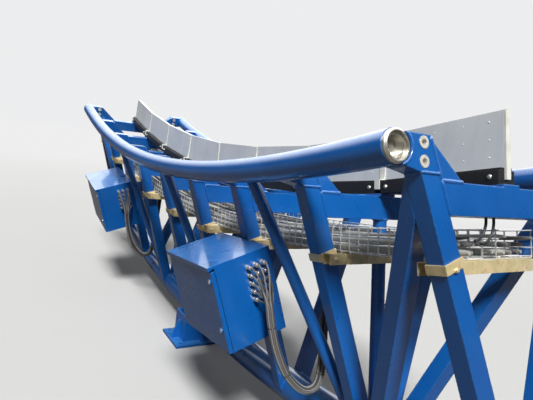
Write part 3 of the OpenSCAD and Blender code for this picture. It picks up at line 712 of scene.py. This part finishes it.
# %% From points to a piece
def piece(name, finish, chunks, body="frame", hides=(), tones=None, sharp=40.0):
    """One object made of chunks, each a pair of points and lists of faces with as many corners."""
    points = np.concatenate([p for p, _ in chunks])
    firsts = np.cumsum([0] + [len(p) for p, _ in chunks[:-1]])
    polygons = [faces + first for (_, lists), first in zip(chunks, firsts) for faces in lists]
    counts = np.concatenate([np.full(len(faces), faces.shape[1]) for faces in polygons])
    mesh = bpy.data.meshes.new(name)
    mesh.vertices.add(len(points))
    mesh.vertices.foreach_set("co", points.ravel())
    mesh.loops.add(int(counts.sum()))
    mesh.loops.foreach_set("vertex_index", np.concatenate([faces.ravel() for faces in polygons]))
    mesh.polygons.add(len(counts))
    mesh.polygons.foreach_set("loop_start", np.cumsum(counts) - counts)
    mesh.update(calc_edges=True)
    mesh.shade_smooth()
    mesh.set_sharp_from_angle(angle=math.radians(sharp))
    if tones is not None:
        mesh.attributes.new(TONE, "FLOAT", "POINT").data.foreach_set("value", tones.ravel())
    mesh.materials.append(finish)
    made = bpy.data.objects.new(name, mesh)
    scene.collection.objects.link(made)
    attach(made, body)
    if hides:
        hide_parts(*hides)
    print(f"{name}: {int((counts - 2).sum())} triangles")
    return made


print("ready to add to", len(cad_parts), "nodes")

# %% [markdown]
# ## Wire trays
# Each tray is welded from round wire: hoops bent to a U every 50 mm, with wires laid lengthwise inside
# them on the floor and up both sides. A Wireframe modifier on a bent sheet would be quicker, but its
# wires would all lie in one layer. These take the places of the frame's square hoops and its wires.

# %% Wire trays
TRAY_IN, TRAY_OUT, TRAY_DROP, TRAY_H = 0.036, 0.251, 0.310, 0.100
WIRE_R, HOOP_PITCH, HOOP_BEND, SEAT = 0.0025, 0.050, 0.010, 0.0003
TRAY_RADIUS = RAIL_RADIUS + TRAY_DROP
TRAY_ANGLE = END_ANGLE - FRAME_T / 2 / TRAY_RADIUS
HOOP_STEP = HOOP_PITCH / TRAY_RADIUS
HOOPS = int(TRAY_ANGLE / HOOP_STEP)
FLOOR_WIRES, SIDE_WIRES, WIRE_ROWS, BEND_STEPS = 7, 3, 120, 5
WIRE_OVERHANG = math.radians(0.05)
MIRROR = np.array([1.0, -1.0, 1.0])


def hoop_path():
    """Middle line of a U of wire, from its inner top end to its outer one.

    Each bend is a quarter turn: the bend's radius times 1 less the cosine, and 1 less the sine.
    """
    low, high = TRAY_IN + WIRE_R, TRAY_OUT - WIRE_R
    floor, top = -TRAY_DROP + WIRE_R, -TRAY_DROP + TRAY_H
    turn = np.linspace(0, np.pi / 2, BEND_STEPS)
    bend = HOOP_BEND * together(1 - np.cos(turn), 1 - np.sin(turn))
    inner = np.array([low, floor]) + bend
    outer = np.array([high, floor]) + bend[::-1] * (-1, 1)
    flat = np.concatenate([[(low, top)], inner, outer, [(high, top)]])
    return np.insert(flat, 0, 0.0, axis=1)


def along_the_valley(angles, y, z):
    """Paths that follow the arc, one for each pair of a distance across and a height."""
    return at(angles[None], together(0.0, y[:, None], z[:, None]))


hoop_angles = np.arange(-HOOPS, HOOPS + 1) * HOOP_STEP
both_hoops = np.stack([hoop_path(), hoop_path() * MIRROR])
hoops = at(hoop_angles[:, None, None], both_hoops[None]).reshape(-1, *hoop_path().shape)
piece("round_hoops", galvanised_wire, [tubes(hoops, WIRE_R, start=(1, 0, 0))],
      hides=["tray_hoops"])
inside = 3 * WIRE_R + SEAT
low, high, floor = TRAY_IN + inside, TRAY_OUT - inside, -TRAY_DROP + inside
heights = np.linspace(floor, -TRAY_DROP + TRAY_H - WIRE_R, SIDE_WIRES + 1)[1:]
wire_y = np.concatenate([np.linspace(low + 2 * WIRE_R, high - 2 * WIRE_R, FLOOR_WIRES),
                         np.repeat([low, high], SIDE_WIRES)])
wire_z = np.concatenate([np.full(FLOOR_WIRES, floor), np.tile(heights, 2)])
wire_angles = np.linspace(-1, 1, WIRE_ROWS) * (HOOPS * HOOP_STEP + WIRE_OVERHANG)
for name, side in (("near", -1), ("far", 1)):
    wires = along_the_valley(wire_angles, side * wire_y, wire_z)
    piece(f"round_wires_{name}", galvanised_wire, [tubes(wires, WIRE_R)],
          hides=[f"tray_wires_{name}"])

# %% [markdown]
# ## Cables in the trays
# Eighteen cables lie in each tray in three layers. They could be let fall with the physics of soft
# bodies, but a few waves give the same loose look in no time. Sizes and greys are drawn at random with
# a fixed seed. A cable wanders across its lane as the sum of two waves, wider in the loose top layer,
# and rises and falls a little. The cables end unevenly, each cut where its reel was cut.

# %% Cables in the trays
LAYERS = ((8, 0.0112, 0.0008), (7, 0.0100, 0.0022), (3, 0.0085, 0.0120))
CABLE_LOW, CABLE_HIGH, CABLE_FLOOR = 0.0470, 0.2400, -0.2988
CABLE_ROWS, CABLE_SIDES, CUT_SPREAD = 150, 10, 0.012
LAYER_RISE, LAYER_TOP, THINNEST, CUT_END = 1.80, 0.70, 0.86, 0.6
SLOW_WAVE, FAST_WAVE, LIFT_WAVE, LIFT_SPREAD = 22, 61, 35, 9
SEED = 8
chance = np.random.default_rng(SEED)


def lanes(layers):
    """Across, height, radius and wander of every cable: each layer rests on the one below it."""
    table, height = [], CABLE_FLOOR
    for number, (count, radius, wander) in enumerate(layers):
        height += radius if number == 0 else LAYER_RISE * radius
        half = (CABLE_HIGH - CABLE_LOW) / count / 2
        across = np.linspace(CABLE_LOW + half, CABLE_HIGH - half, count)
        sizes = radius * chance.uniform(THINNEST, 1.0, count)
        table.append(together(across, height, sizes, wander))
        height += LAYER_TOP * radius
    return np.concatenate(table)


def tray_cables(side):
    """The cables of one tray as tubes, with one tone to each cable.

    Across, a cable swings by six tenths of the sine of a slow wave and four tenths of a faster one.
    Its lift is half its wander times the size of one wave and the square of another. Each wave has a
    phase of its own.
    """
    y, z, radius, wander = lanes(LAYERS).T[..., None]
    cut = TRAY_ANGLE - chance.uniform(0, CUT_SPREAD, (2, len(y), 1))
    angles = -cut[0] + np.linspace(0, 1, CABLE_ROWS)[None] * cut.sum(0)
    radius = radius * np.where(np.arange(CABLE_ROWS) % (CABLE_ROWS - 1) == 0, CUT_END, 1.0)
    phase = chance.uniform(0, 2 * np.pi, (4, len(y), 1))
    swing = 0.6 * np.sin(angles * SLOW_WAVE + phase[0]) + 0.4 * np.sin(angles * FAST_WAVE + phase[1])
    lift = np.abs(np.sin(angles * LIFT_WAVE + phase[2])) * np.sin(angles * LIFT_SPREAD + phase[3]) ** 2
    across, up = side * (y + wander * swing), z + 0.5 * wander * lift
    tone = np.repeat(chance.uniform(0, 1, len(y)), CABLE_ROWS * CABLE_SIDES)
    return tubes(at(angles, together(0.0, across, up)), radius, CABLE_SIDES), tone


for name, side in (("near", -1), ("far", 1)):
    shape, tone = tray_cables(side)
    piece(f"single_cables_{name}", grey_cable, [shape],
          hides=[f"tray_cables_{name}"], tones=tone)

# %% [markdown]
# ## Beside a leaning leg
# A leg leans from the head under a rail in towards the spine. Boxes, bolts and welds all sit beside
# one, so a function gives the distance across at any height. The places could be read off the frame's
# meshes, but those have points only at corners.

# %% Beside a leaning leg
SPINE_DROP, HEAD_DROP, LEG_TOP_Y, LEG_FOOT_Y, LEG_W = 1.076, 0.064, 0.380, 0.046, 0.072
LEG_TILT = math.atan((LEG_TOP_Y - LEG_FOOT_Y) / (SPINE_DROP - HEAD_DROP))
LEG_IN = LEG_FOOT_Y * math.cos(LEG_TILT) - LEG_W / 2
LEG_OUT = LEG_IN + LEG_W


def leg_y(n, z):
    """Distance across, at height z, of a line that leans as a leg does and passes n off the spine.

    Its nearest point to the spine's axis lies n times the tilt's cosine across and n times its sine
    below. From there the line moves out by the tilt's tangent for each unit of rise.
    """
    rise = z + SPINE_DROP + n * math.sin(LEG_TILT)
    return n * math.cos(LEG_TILT) + rise * math.tan(LEG_TILT)


print(f"a leg leans {math.degrees(LEG_TILT):.2f} degrees")

# %% [markdown]
# ## Glands of the boxes
# A box hangs on the outer face of a leaning leg, so its own axes lean with it. Everything on a box is
# measured in those axes and then carried over to the frame's, where the tray and the spine are. Each
# box has fifteen glands on its end, in five rows of three. Their ends could be looked up in the
# frame's mesh one by one, but a grid of sums gives them all.

# %% Glands of the boxes
BOX_FRAMES = {"a": 2, "b": -2}
BOX_L, BOX_DROP, BAR_T, GLAND_LEN, GLAND_PITCH = 0.485, 0.308, 0.012, 0.034, 0.036
GLAND_FIRST_Y, GLAND_FIRST_Z, GLAND_COLS, GLAND_ROWS = 0.050, 0.055, 3, 5


def from_box(p):
    """Points in a box's axes, which lie on the leg's outer face, as points in its frame's axes."""
    x, y, z = np.moveaxis(p, -1, 0)
    sine, cosine = math.sin(LEG_TILT), math.cos(LEG_TILT)
    out = -leg_y(LEG_OUT, -BOX_DROP)
    return together(x, out + y * cosine - z * sine, -BOX_DROP + y * sine + z * cosine)


def gland_ends():
    """Outer ends of the glands in the box's axes, row by row from the top."""
    column, row = np.meshgrid(np.arange(GLAND_COLS), np.arange(GLAND_ROWS))
    y = -BAR_T - GLAND_FIRST_Y - column.ravel() * GLAND_PITCH
    z = -GLAND_FIRST_Z - row.ravel() * GLAND_PITCH
    return together(BOX_L / 2 + GLAND_LEN, y, z)


print(len(gland_ends()), "glands on each box")

# %% [markdown]
# ## The bundle
# Outside a box the cables run together as a bundle. It hangs down beside the leg, turns inwards above
# the spine and climbs into the near tray. One thick tube with a striped finish would pass from afar,
# but not from near by. So every cable keeps a place of its own: five round the middle, ten outside.

# %% The bundle
BUNDLE = 0.001 * np.array([
    (57, -380, -560), (62, -366, -640), (70, -338, -740), (86, -292, -840), (109, -226, -905),
    (124, -170, -900), (128, -145, -840), (126, -140, -740), (124, -140, -600), (124, -140, -450),
    (124, -140, -306), (124, -140, -284)])
BUNDLE_START, BUNDLE_RINGS, BUNDLE_REACH = (1, 0.1, 0), (5, 10), (0.0064, 0.0142)


def bundle_middle():
    """Places down the middle of the bundle, its directions there and the normals carried along."""
    knots = BUNDLE + (BOX_L / 2 + GLAND_LEN, 0, 0)
    tangents = unit(np.gradient(knots, axis=0))
    return knots, tangents, carried(tangents[None], BUNDLE_START)[0]


def bundle_places():
    """Where each cable runs beside the bundle's middle: an inner and an outer ring of places.

    A place is the middle, plus the ring's reach times the normal turned about the bundle.
    """
    knots, t, n = bundle_middle()
    turn = np.concatenate([turns(count) for count in BUNDLE_RINGS])
    reach = np.repeat(BUNDLE_REACH, BUNDLE_RINGS)
    return knots + reach[:, None, None] * about(t, n, turn[:, None, None])


print(len(bundle_places()), "places in the bundle")

# %% [markdown]
# ## Cables of the boxes
# The cables come straight out of their glands and fan in to the bundle below. A straight line from
# gland to bundle would leave a kink at both ends, so a curve pulled out at the gland and up at the
# bundle takes each cable down.

# %% Cables of the boxes
BOX_CABLE_R, BOX_CABLE_SIDES, BOX_CABLE_STEPS, FAN_STEPS = 0.0038, 8, 8, 14
CABLE_REACH, FULL_REACH_DROP, LEAST_REACH, PULL, GLAND_SEAT = (0.045, 0.075), 0.16, 0.3, 0.45, 0.006
ROW_SHARE = 0.1


def pulled_curves(a, b, c, d, steps):
    """Curves from places a to places d, pulled towards b and c on the way.

    The four places are weighted with (1 - t) cubed, 3 t (1 - t) squared, 3 t squared (1 - t) and t
    cubed.
    """
    t = np.linspace(0, 1, steps, endpoint=False)[:, None]
    parts = ((1 - t) ** 3, 3 * t * (1 - t) ** 2, 3 * t ** 2 * (1 - t), t ** 3)
    return sum(part * p[:, None] for part, p in zip(parts, (a, b, c, d)))


def box_cables(i):
    """Fifteen cables from the glands of the box at frame i, through the bundle, up into the tray.

    Cables keep their order across on the way down, and within a column the lower gland counts as the
    outer one. A cable from a low gland has little room to turn, so it reaches out less.
    """
    starts = from_box(gland_ends() - (GLAND_SEAT, 0, 0))
    run = bundle_places()
    order = np.argsort(np.argsort(starts[:, 1] + ROW_SHARE * starts[:, 2]))
    run = run[np.argsort(run[:, 0, 1])][order]
    room = np.clip((starts[:, 2] - run[:, 0, 2]) / FULL_REACH_DROP, LEAST_REACH, 1)
    out = starts + (chance.uniform(*CABLE_REACH, len(starts)) * room)[:, None] * (1, 0, 0)
    drop = PULL * np.linalg.norm(run[:, 0] - out, axis=1)[:, None]
    above = run[:, 0] - drop * unit(run[:, 1] - run[:, 0])
    first = pulled_curves(starts, out, above, run[:, 0], FAN_STEPS)
    return at(station(i), np.concatenate([first, smooth_path(run, BOX_CABLE_STEPS)], 1))


for letter, i in BOX_FRAMES.items():
    paths = box_cables(i)
    tone = np.repeat(chance.uniform(0, 1, len(paths)), paths.shape[1] * BOX_CABLE_SIDES)
    piece(f"single_cables_{letter}", shaded_grey_cable,
          [tubes(paths, BOX_CABLE_R, BOX_CABLE_SIDES)], hides=[f"box_{letter}_cables"], tones=tone)

# %% [markdown]
# ## Black leads
# Two short leads hang from the last cross-beam and bend away into the near tray. The frame has them
# as straight stretches. A Subdivision Surface modifier could smooth those, but it would draw them
# tighter, so a curve through the same knots takes their place.

# %% Black leads
LEAD_R, LEAD_STEPS, LEAD_SIDES = 0.0045, 8, 12
LEADS = 0.001 * np.array([
    [(-10, -40, -177), (-10, -42, -200), (-12, -52, -232), (-14, -74, -252), (-16, -100, -258)],
    [(-10, -80, -177), (-10, -82, -198), (-12, -92, -224), (-14, -110, -242), (-16, -132, -250)]])
lead_paths = at(station(BAYS // 2), smooth_path(LEADS, LEAD_STEPS))
piece("smooth_leads", black_cable,
      [tubes(lead_paths, LEAD_R, LEAD_SIDES, start=(1, 0, 0))], hides=["black_leads"])

# %% [markdown]
# ## Weld beads
# A bump in the paint would be lost in a side view, so a weld bead is a thin tube half sunk into both
# parts. Its thickness varies from step to step, as a hand weld's does. Beads run along straight lines
# or round arcs, and most of them have a twin on the other face of the frame.

# %% Weld beads
BEAD_R, BEAD_STEP, BEAD_SIDES, BEAD_THIN, BEAD_END = 0.0058, 0.006, 7, 0.84, 0.4


def beads(paths, radius=BEAD_R):
    """Tubes whose radius is cut at random by up to a sixth at each ring, and thin at both ends."""
    rough = chance.uniform(BEAD_THIN, 1.0, paths.shape[:2])
    rough[:, [0, -1]] = BEAD_END
    return tubes(paths, radius * rough, BEAD_SIDES)


def line(start, end):
    """Points from one place to another, a bead's step apart."""
    start, end = np.asarray(start, dtype=float), np.asarray(end, dtype=float)
    steps = max(2, round(np.linalg.norm(end - start) / BEAD_STEP))
    return start + (end - start) * np.linspace(0, 1, steps + 1)[:, None]


def arc(y, z, radius, start, end):
    """Points on a circle across the track, from one angle in degrees to another.

    Across is y plus the radius times the cosine, up is z plus the radius times the sine.
    """
    steps = round(radius * math.radians(abs(end - start)) / BEAD_STEP)
    turn = np.radians(np.linspace(start, end, steps + 1))
    return together(0.0, y + radius * np.cos(turn), z + radius * np.sin(turn))


def on_both_faces(path, half):
    """A path in a frame's plane, moved to its front face and to its back."""
    return [path + (half, 0, 0), path - (half, 0, 0)]


print("a bead 60 mm long has", len(line((0, 0, 0), (0.060, 0, 0))), "rings")

# %% [markdown]
# ## Welds of the cross frames
# All joints of the cross frames are welded, and the beads show plainly on the near end frame. Each
# path is worked out once, from the sizes of head, leg, beam and wedge, and then copied to both halves
# of all nine frames. Modelling one frame and making linked copies would do it too, but the arc turns
# each frame a little further than the last.

# %% Welds of the cross frames
WEDGE_T, WEDGE_TOE, HEAD_RISE, BEAM_DROP, BEAM_H = 0.052, 0.238, 0.042, 0.082, 0.096
WEDGE_BEAD_R, WEDGE_INSET, RAIL_ARC, SPINE_ARC, SPINE_R = 0.0085, 0.003, (126, 252), (-74, -4), 0.0795


def in_all_frames(points):
    """Copies of points of the far half of a frame's own axes, for both halves of all frames."""
    both = np.stack([points, points * MIRROR])
    return at(station(FRAMES)[:, None, None], both[None]).reshape(-1, *points.shape)


def frame_welds():
    """Paths of all beads of one half of a frame, in the frame's own axes."""
    head_low, leg_low = leg_y(LEG_IN, -HEAD_DROP), leg_y(LEG_OUT, -HEAD_DROP)
    beam_top, beam_foot = leg_y(LEG_IN, -BEAM_DROP), leg_y(LEG_IN, -BEAM_DROP - BEAM_H)
    wedge_top = (0, leg_y(LEG_IN, HEAD_RISE - WEDGE_INSET), HEAD_RISE - WEDGE_INSET)
    half, wedge_half = FRAME_T / 2, WEDGE_T / 2
    foot_start, foot_end = (90 - math.degrees(LEG_TILT) + turn for turn in SPINE_ARC)
    paths = []
    for flat, out, radius in (
            (line((0, head_low, -HEAD_DROP), (0, leg_low, -HEAD_DROP)), half, BEAD_R),
            (line((0, beam_top, -BEAM_DROP), (0, beam_foot, -BEAM_DROP - BEAM_H)), half, BEAD_R),
            (line((0, beam_top, -BEAM_DROP), wedge_top), wedge_half, WEDGE_BEAD_R),
            (line((0, WEDGE_TOE, -BEAM_DROP), (0, beam_top, -BEAM_DROP)), wedge_half, WEDGE_BEAD_R),
            (arc(HALF_GAUGE, 0, RAIL_D / 2, *RAIL_ARC), half, BEAD_R),
            (arc(0, -SPINE_DROP, SPINE_R, foot_start, foot_end), half, BEAD_R)):
        paths += [(path, radius) for path in on_both_faces(flat, out)]
    for y, z in ((leg_low, -HEAD_DROP), (beam_foot, -BEAM_DROP - BEAM_H)):
        paths.append((line((-half, y, z), (half, y, z)), BEAD_R))
    return paths


welds = [beads(in_all_frames(path), radius) for path, radius in frame_welds()]
piece("frame_weld_beads", blue_paint, welds, sharp=60.0)

# %% [markdown]
# ## Welds round the tubes
# A round tube that ends on the spine is cut to a saddle, and its weld follows that saddle. A Boolean
# modifier could find the cut, but its edge would still have to be traced. Instead each line along the
# tube's wall is followed to where it meets the spine, which is a quadratic with one answer on the
# right side. The centre posts meet the spine upright, the round braces meet it at a slant.

# %% Welds round the tubes
POST_FRAMES, POST_R = (-3, -1, 1, 3), 0.028
BRACE_FRAMES, BRACE_R, BRACE_FOOT_Y, BRACE_FOOT_RISE = (-1, 1, 3), 0.0254, 0.062, 0.064
BRACE_GAP, SADDLE_STEPS = 0.004, 40


def saddle(foot, away, radius):
    """Where the lines along a tube's wall meet the spine, in the axes at the tube's foot.

    A line starts on the circle round the foot and runs along the tube; its distance from the spine's
    axis is the spine's radius at t, the larger root of a t squared plus 2 b t plus c.
    """
    away = unit(np.asarray(away, dtype=float))
    turn = np.linspace(0, 2 * np.pi, SADDLE_STEPS)[:, None]
    first = carried(away[None, None], (0, 1, 0.2))[0, 0]
    wall = foot + radius * about(away, first, turn)
    off = wall[:, 1:] + (0, SPINE_DROP)
    a, b, c = away[1:] @ away[1:], off @ away[1:], (off ** 2).sum(-1) - SPINE_R ** 2
    return wall + ((-b + np.sqrt(b * b - a * c)) / a)[:, None] * away


def seen_from(angle, places):
    """World places as points in the axes at an angle: the way back from at()."""
    x, y, z = np.moveaxis(places, -1, 0)
    up = z - RAIL_HEIGHT - RAIL_RADIUS
    sine, cosine = np.sin(angle), np.cos(angle)
    return together(x * cosine + up * sine, y, RAIL_RADIUS - x * sine + up * cosine)


def post_welds(i):
    """The saddle under a centre post and the ring where it meets the cross-beam."""
    turn = np.linspace(0, 2 * np.pi, SADDLE_STEPS)
    ring = together(POST_R * np.cos(turn), POST_R * np.sin(turn), -BEAM_DROP - BEAM_H)
    foot = saddle((0, 0, -SPINE_DROP), (0, 0, 1), POST_R)
    return at(station(i), np.stack([ring, foot]))


def brace_weld(i, side):
    """The saddle at the foot of the round brace that lands beside frame i.

    The brace comes down from the inner lower quarter of the rail's round, half way along the bay.
    """
    angle = station(i) - (FRAME_T / 2 + BRACE_R + BRACE_GAP) / (RAIL_RADIUS + SPINE_DROP)
    foot = np.array([0, side * BRACE_FOOT_Y, -SPINE_DROP + BRACE_FOOT_RISE])
    under = RAIL_D / 2 * math.sqrt(0.5)
    head = at((station(i - 1) + station(i)) / 2, (0, side * (HALF_GAUGE - under), -under))
    return at(angle, saddle(foot, seen_from(angle, head) - foot, BRACE_R))


posts = np.concatenate([post_welds(i) for i in POST_FRAMES])
braces = np.stack([brace_weld(i, side) for i in BRACE_FRAMES for side in (-1, 1)])
piece("tube_weld_beads", blue_paint, [beads(posts), beads(braces)], sharp=60.0)

# %% [markdown]
# ## Rivets and bolts
# The sheets of each plate are riveted in three rows, and hexagon bolts hold the carriers from both
# sides. Instances of one bolt would be lighter, but a few dozen faces each is little, and one mesh
# keeps all of them a single piece. Each is placed in the axes of its own bay.

# %% Rivets and bolts
RIVET = ((0.0034, -0.0005), (0.0034, 0.0002), (0.0028, 0.0008), (0.0015, 0.0011))
WASHER = ((0.0082, -0.0003), (0.0082, 0.0013), (0.0074, 0.0016))
HEX_HEAD = ((0.0066, 0.0012), (0.0066, 0.0058), (0.0057, 0.0068))
RIVET_X, RIVET_Z = np.array([-0.212, -0.115, -0.012, 0.108, 0.205]), np.array([0.020, 0.078, 0.138])
PLATE_HALF_T, CARRIER_HALF_W, BOLT_X, BOLT_Z = 0.012, 0.042, np.array([-0.225, 0.225]), -0.046
RIVET_SIDES, WASHER_SIDES, HEX_SIDES = 10, 16, 6


def bolts(places, axes):
    """Washers and hexagon heads that stand on a surface along its outward directions."""
    return [turned(places, axes, WASHER, WASHER_SIDES), turned(places, axes, HEX_HEAD, HEX_SIDES)]


def plate_joints():
    """Angles of the joints between plates, which drift off the frames towards the ends."""
    return station(FRAMES) + FRAME_T / 2 / RAIL_RADIUS * FRAMES / (BAYS / 2)


def on_both_sides(x, y, z):
    """Places on the two side faces of every bay's straight parts, and the ways those faces look.

    A bay's parts are straight, so their line lies above the arc's middle by the arc's radius times
    1 less the cosine of half the bay's angle.
    """
    joints = plate_joints()
    middle, half = (joints[1:] + joints[:-1]) / 2, (joints[1:] - joints[:-1]) / 2
    lift = RAIL_RADIUS * (1 - np.cos(half))[:, None, None, None]
    x, z, side = x[None, :, None, None], z[None, None, :, None], np.array([-1.0, 1.0])
    flat = together(x, side * y, z + lift)
    places = at(middle[:, None, None, None], flat).reshape(-1, 3)
    outward = np.broadcast_to(together(0.0, side, 0.0), flat.shape)
    return places, outward.reshape(-1, 3)


piece("plate_rivets", stator_metal,
      [turned(*on_both_sides(RIVET_X, PLATE_HALF_T, RIVET_Z), RIVET, RIVET_SIDES)])
piece("carrier_bolts", machined_steel,
      bolts(*on_both_sides(BOLT_X, CARRIER_HALF_W, np.array([BOLT_Z]))))

# %% [markdown]
# ## Bolts of the straps
# The strap round a leg has a free arm and an arm that lies against the strut under the trays, and a
# bolt goes through each. The strut lies on the same side of every frame but the last, where it would
# stand out past the end. They could be placed frame by frame, but one sign mirrors that last pair.

# %% Bolts of the straps
STRUT_MID, STRUT_OUT, STRAP_OUT = -0.3308, 0.0766, 0.0353


def strap_bolts():
    """A bolt on the free arm of each strap, and one through the side of the strut by its other arm."""
    inward = np.where(FRAMES == BAYS // 2, -1.0, 1.0)[:, None, None]
    x = np.array([-STRAP_OUT, STRUT_OUT])[None, :, None] * inward
    y = leg_y((LEG_IN + LEG_OUT) / 2, STRUT_MID) * np.array([-1.0, 1.0])
    points = together(x, y, STRUT_MID)
    angles = station(FRAMES)[:, None, None]
    places = at(angles, points)
    outward = at(angles, points + np.sign(x)[..., None] * (1, 0, 0)) - places
    return places.reshape(-1, 3), outward.reshape(-1, 3)


piece("strap_bolts", yellow_zinc, bolts(*strap_bolts()))

# %% [markdown]
# ## Strips over the joints
# A pale strip hides each joint between two plates. It runs down the plates, steps out over the top of
# the carriers and hangs down before them. Three thin boxes for each would do it, but their folds
# would overlap. So the folded profile is one flat outline seen along the track, and a slab as wide as
# the strip gives it its body.

# %% Strips over the joints
STRIP_X, STRIP_Y = (-0.014, 0.014), (0.0118, 0.0152, 0.0418, 0.0452)
STRIP_Z = (0.1685, -0.0135, -0.0165, -0.0545)


def joint_strips():
    """A strip over each joint, on both sides: down the plates, out and down before the carriers."""
    (plate, front, carrier, outer), (top, over, under, low) = STRIP_Y, STRIP_Z
    y, z = np.array([(plate, top), (front, top), (front, over), (outer, over), (outer, low),
                     (carrier, low), (carrier, under), (plate, under)]).T
    chunks = []
    for angle in plate_joints()[1:-1]:
        for side in (-1.0, 1.0):
            ends = [at(angle, together(x, side * y, z)) for x in STRIP_X]
            chunks.append(slab(ends[0], ends[1][0] - ends[0][0]))
    return chunks


piece("joint_strips", white_cap, joint_strips())

# %% [markdown]
# ## Hood cheeks and locks
# The hood over each door is closed at its ends by small folded cheeks. The two round locks on the
# door have a triangular key and open with it, so they ride on the door and swing away with it. They
# could be part of the door's own mesh, but that is the frame's and stays as it is.

# %% Hood cheeks and locks
BOX_WALL, HOOD_FRONT, CASE_FRONT, HOOD_LIP, CHEEK_BACK = 0.003, -0.312, -0.282, 0.015, 0.006
LOCK_AT = np.array([(0.2115, -0.306, -0.066), (0.2115, -0.306, -0.286)])
LOCK_RIM = ((0.0095, -0.001), (0.0095, 0.0008), (0.0080, 0.0012), (0.0078, 0.0004))
LOCK_KEY = ((0.0044, 0.0), (0.0044, 0.0030), (0.0038, 0.0034))
RIM_SIDES, KEY_SIDES = 20, 3


def on_box(i, points):
    """World places of points in the axes of the box at frame i."""
    return at(station(i), from_box(points))


def hood_cheeks(i):
    """A folded cheek at each end of the hood, deeper at the front than at the case."""
    profile = [(HOOD_FRONT, 0), (HOOD_FRONT, -HOOD_LIP), (CASE_FRONT, -CHEEK_BACK), (CASE_FRONT, 0)]
    made = []
    for side in (-1, 1):
        outline = np.insert(np.array(profile), 0, side * BOX_L / 2, axis=1)
        inward = outline - (side * BOX_WALL, 0, 0)
        outer, inner = on_box(i, outline), on_box(i, inward)
        made.append(slab(outer, inner[0] - outer[0]))
    return made


def lock_parts(i):
    """The rims and keys of a door's two locks."""
    places = on_box(i, LOCK_AT)
    axes = on_box(i, LOCK_AT - (0, 1, 0)) - places
    return [turned(places, axes, LOCK_RIM, RIM_SIDES), turned(places, axes, LOCK_KEY, KEY_SIDES)]


for letter, i in BOX_FRAMES.items():
    piece(f"hood_cheeks_{letter}", box_paint, hood_cheeks(i))
    piece(f"lock_inserts_{letter}", nickel, lock_parts(i), body=f"box_{letter}_door")

# %% [markdown]
# ## Ties and inner wires
# Black ties hold the bundle outside the box, each a thin ring with a small square head. Inside, a
# wire runs from each gland to the terminals in a loose curve, which shows once the door is open. A
# single tangled mesh would do behind a shut door, but here every wire has its own end.

# %% Ties and inner wires
TIE_KNOTS, TIE_R, TIE_STEPS, TIE_SIDES = [1, 3, 6, 8], 0.0016, 21, 6
TIE_HEAD = ((0.0034, -0.001), (0.0034, 0.0024), (0.0026, 0.0030))
TERMINAL_X, TERMINAL_PITCH, WIRE_END_Y, WIRE_ROW_Z = -0.150, 0.038, -0.055, (-0.102, -0.229)
INNER_WIRE_R, INNER_WIRE_SIDES, INNER_WIRE_STEPS = 0.0022, 6, 16
WIRE_PULL, WIRE_RISE = (0.06, 0.12), (0, -0.045, 0.045)


def bundle_ties(i):
    """Rings round the bundle at some of its knots, each with a small square head."""
    middle, t, n = (values[TIE_KNOTS][:, None] for values in bundle_middle())
    turn = np.linspace(0, 2 * np.pi, TIE_STEPS)[:, None]
    around = (BUNDLE_REACH[1] + BOX_CABLE_R) * about(t, n, turn)
    ring = at(station(i), middle + around)
    out = at(station(i), middle + 2 * around)[:, 0] - ring[:, 0]
    return [tubes(ring, TIE_R, TIE_SIDES, start=out), turned(ring[:, 0], out, TIE_HEAD, 4)]


def inner_wires(i):
    """Fifteen wires, one from each gland to a terminal of the upper or the lower row."""
    starts = gland_ends() - (GLAND_LEN + BOX_WALL, 0, 0)
    k = np.arange(len(starts))
    ends = together(TERMINAL_X + TERMINAL_PITCH * (k // 2), WIRE_END_Y, np.take(WIRE_ROW_Z, k % 2))
    pulled = starts - chance.uniform(*WIRE_PULL, (len(k), 1)) * (1, 0, 0)
    curves = pulled_curves(starts, pulled, ends + WIRE_RISE, ends, INNER_WIRE_STEPS)
    curves = np.concatenate([curves, ends[:, None]], 1)
    return on_box(i, curves)


for letter, i in BOX_FRAMES.items():
    piece(f"bundle_ties_{letter}", black_cable, bundle_ties(i))
    piece(f"inner_wires_{letter}", black_cable,
          [tubes(inner_wires(i), INNER_WIRE_R, INNER_WIRE_SIDES)])

# %% [markdown]
# ## The floor
# One large pale sheet lies under the base plate and takes the section's soft shadow. A pale sheet
# would also throw much light up under the section and wash out its undersides, so all rays but the
# camera's see a darker tone. Far from the section the sheet fades into the backdrop.

# %% Lay the floor
FLOOR_HALF, HAZE = 40.0, (4.0, 14.0)
FLOOR_TONES, FLOOR_BOUNCE = (rgb(196, 196, 194), rgb(202, 202, 200)), rgb(100, 98, 94)


def pale_floor():
    """A square sheet level with the underside of the base plate."""
    corners = np.array([(-1, -1), (1, -1), (1, 1), (-1, 1)]) * FLOOR_HALF
    mesh = bpy.data.meshes.new("floor")
    mesh.from_pydata([(x, y, cad_box[0].z) for x, y in corners], [], [(0, 1, 2, 3)])
    f = Finish("floor", Metallic=0.0, Roughness=0.85, Specular_IOR_Level=0.0)
    camera_ray = f.add("LightPath").outputs["Is Camera Ray"]
    tone = f.blend(f.noise(0.6, 4.0), *FLOOR_TONES)
    away = f.add("VectorMath", {"operation": "LENGTH"}, i0=f.place).outputs["Value"]
    haze = f.times(f.between(away, *HAZE), camera_ray)
    tone = f.blend(haze, f.blend(camera_ray, FLOOR_BOUNCE, tone), rgb(0, 0, 0))
    f.put(f.shader, Base_Color=tone, Emission_Color=rgb(255, 255, 255),
          Emission_Strength=f.times(haze, BACKDROP[0]))
    mesh.materials.append(f.material)
    floor = bpy.data.objects.new("floor", mesh)
    scene.collection.objects.link(floor)


pale_floor()
print("floor at", round(cad_box[0].z, 4))

# %% [markdown]
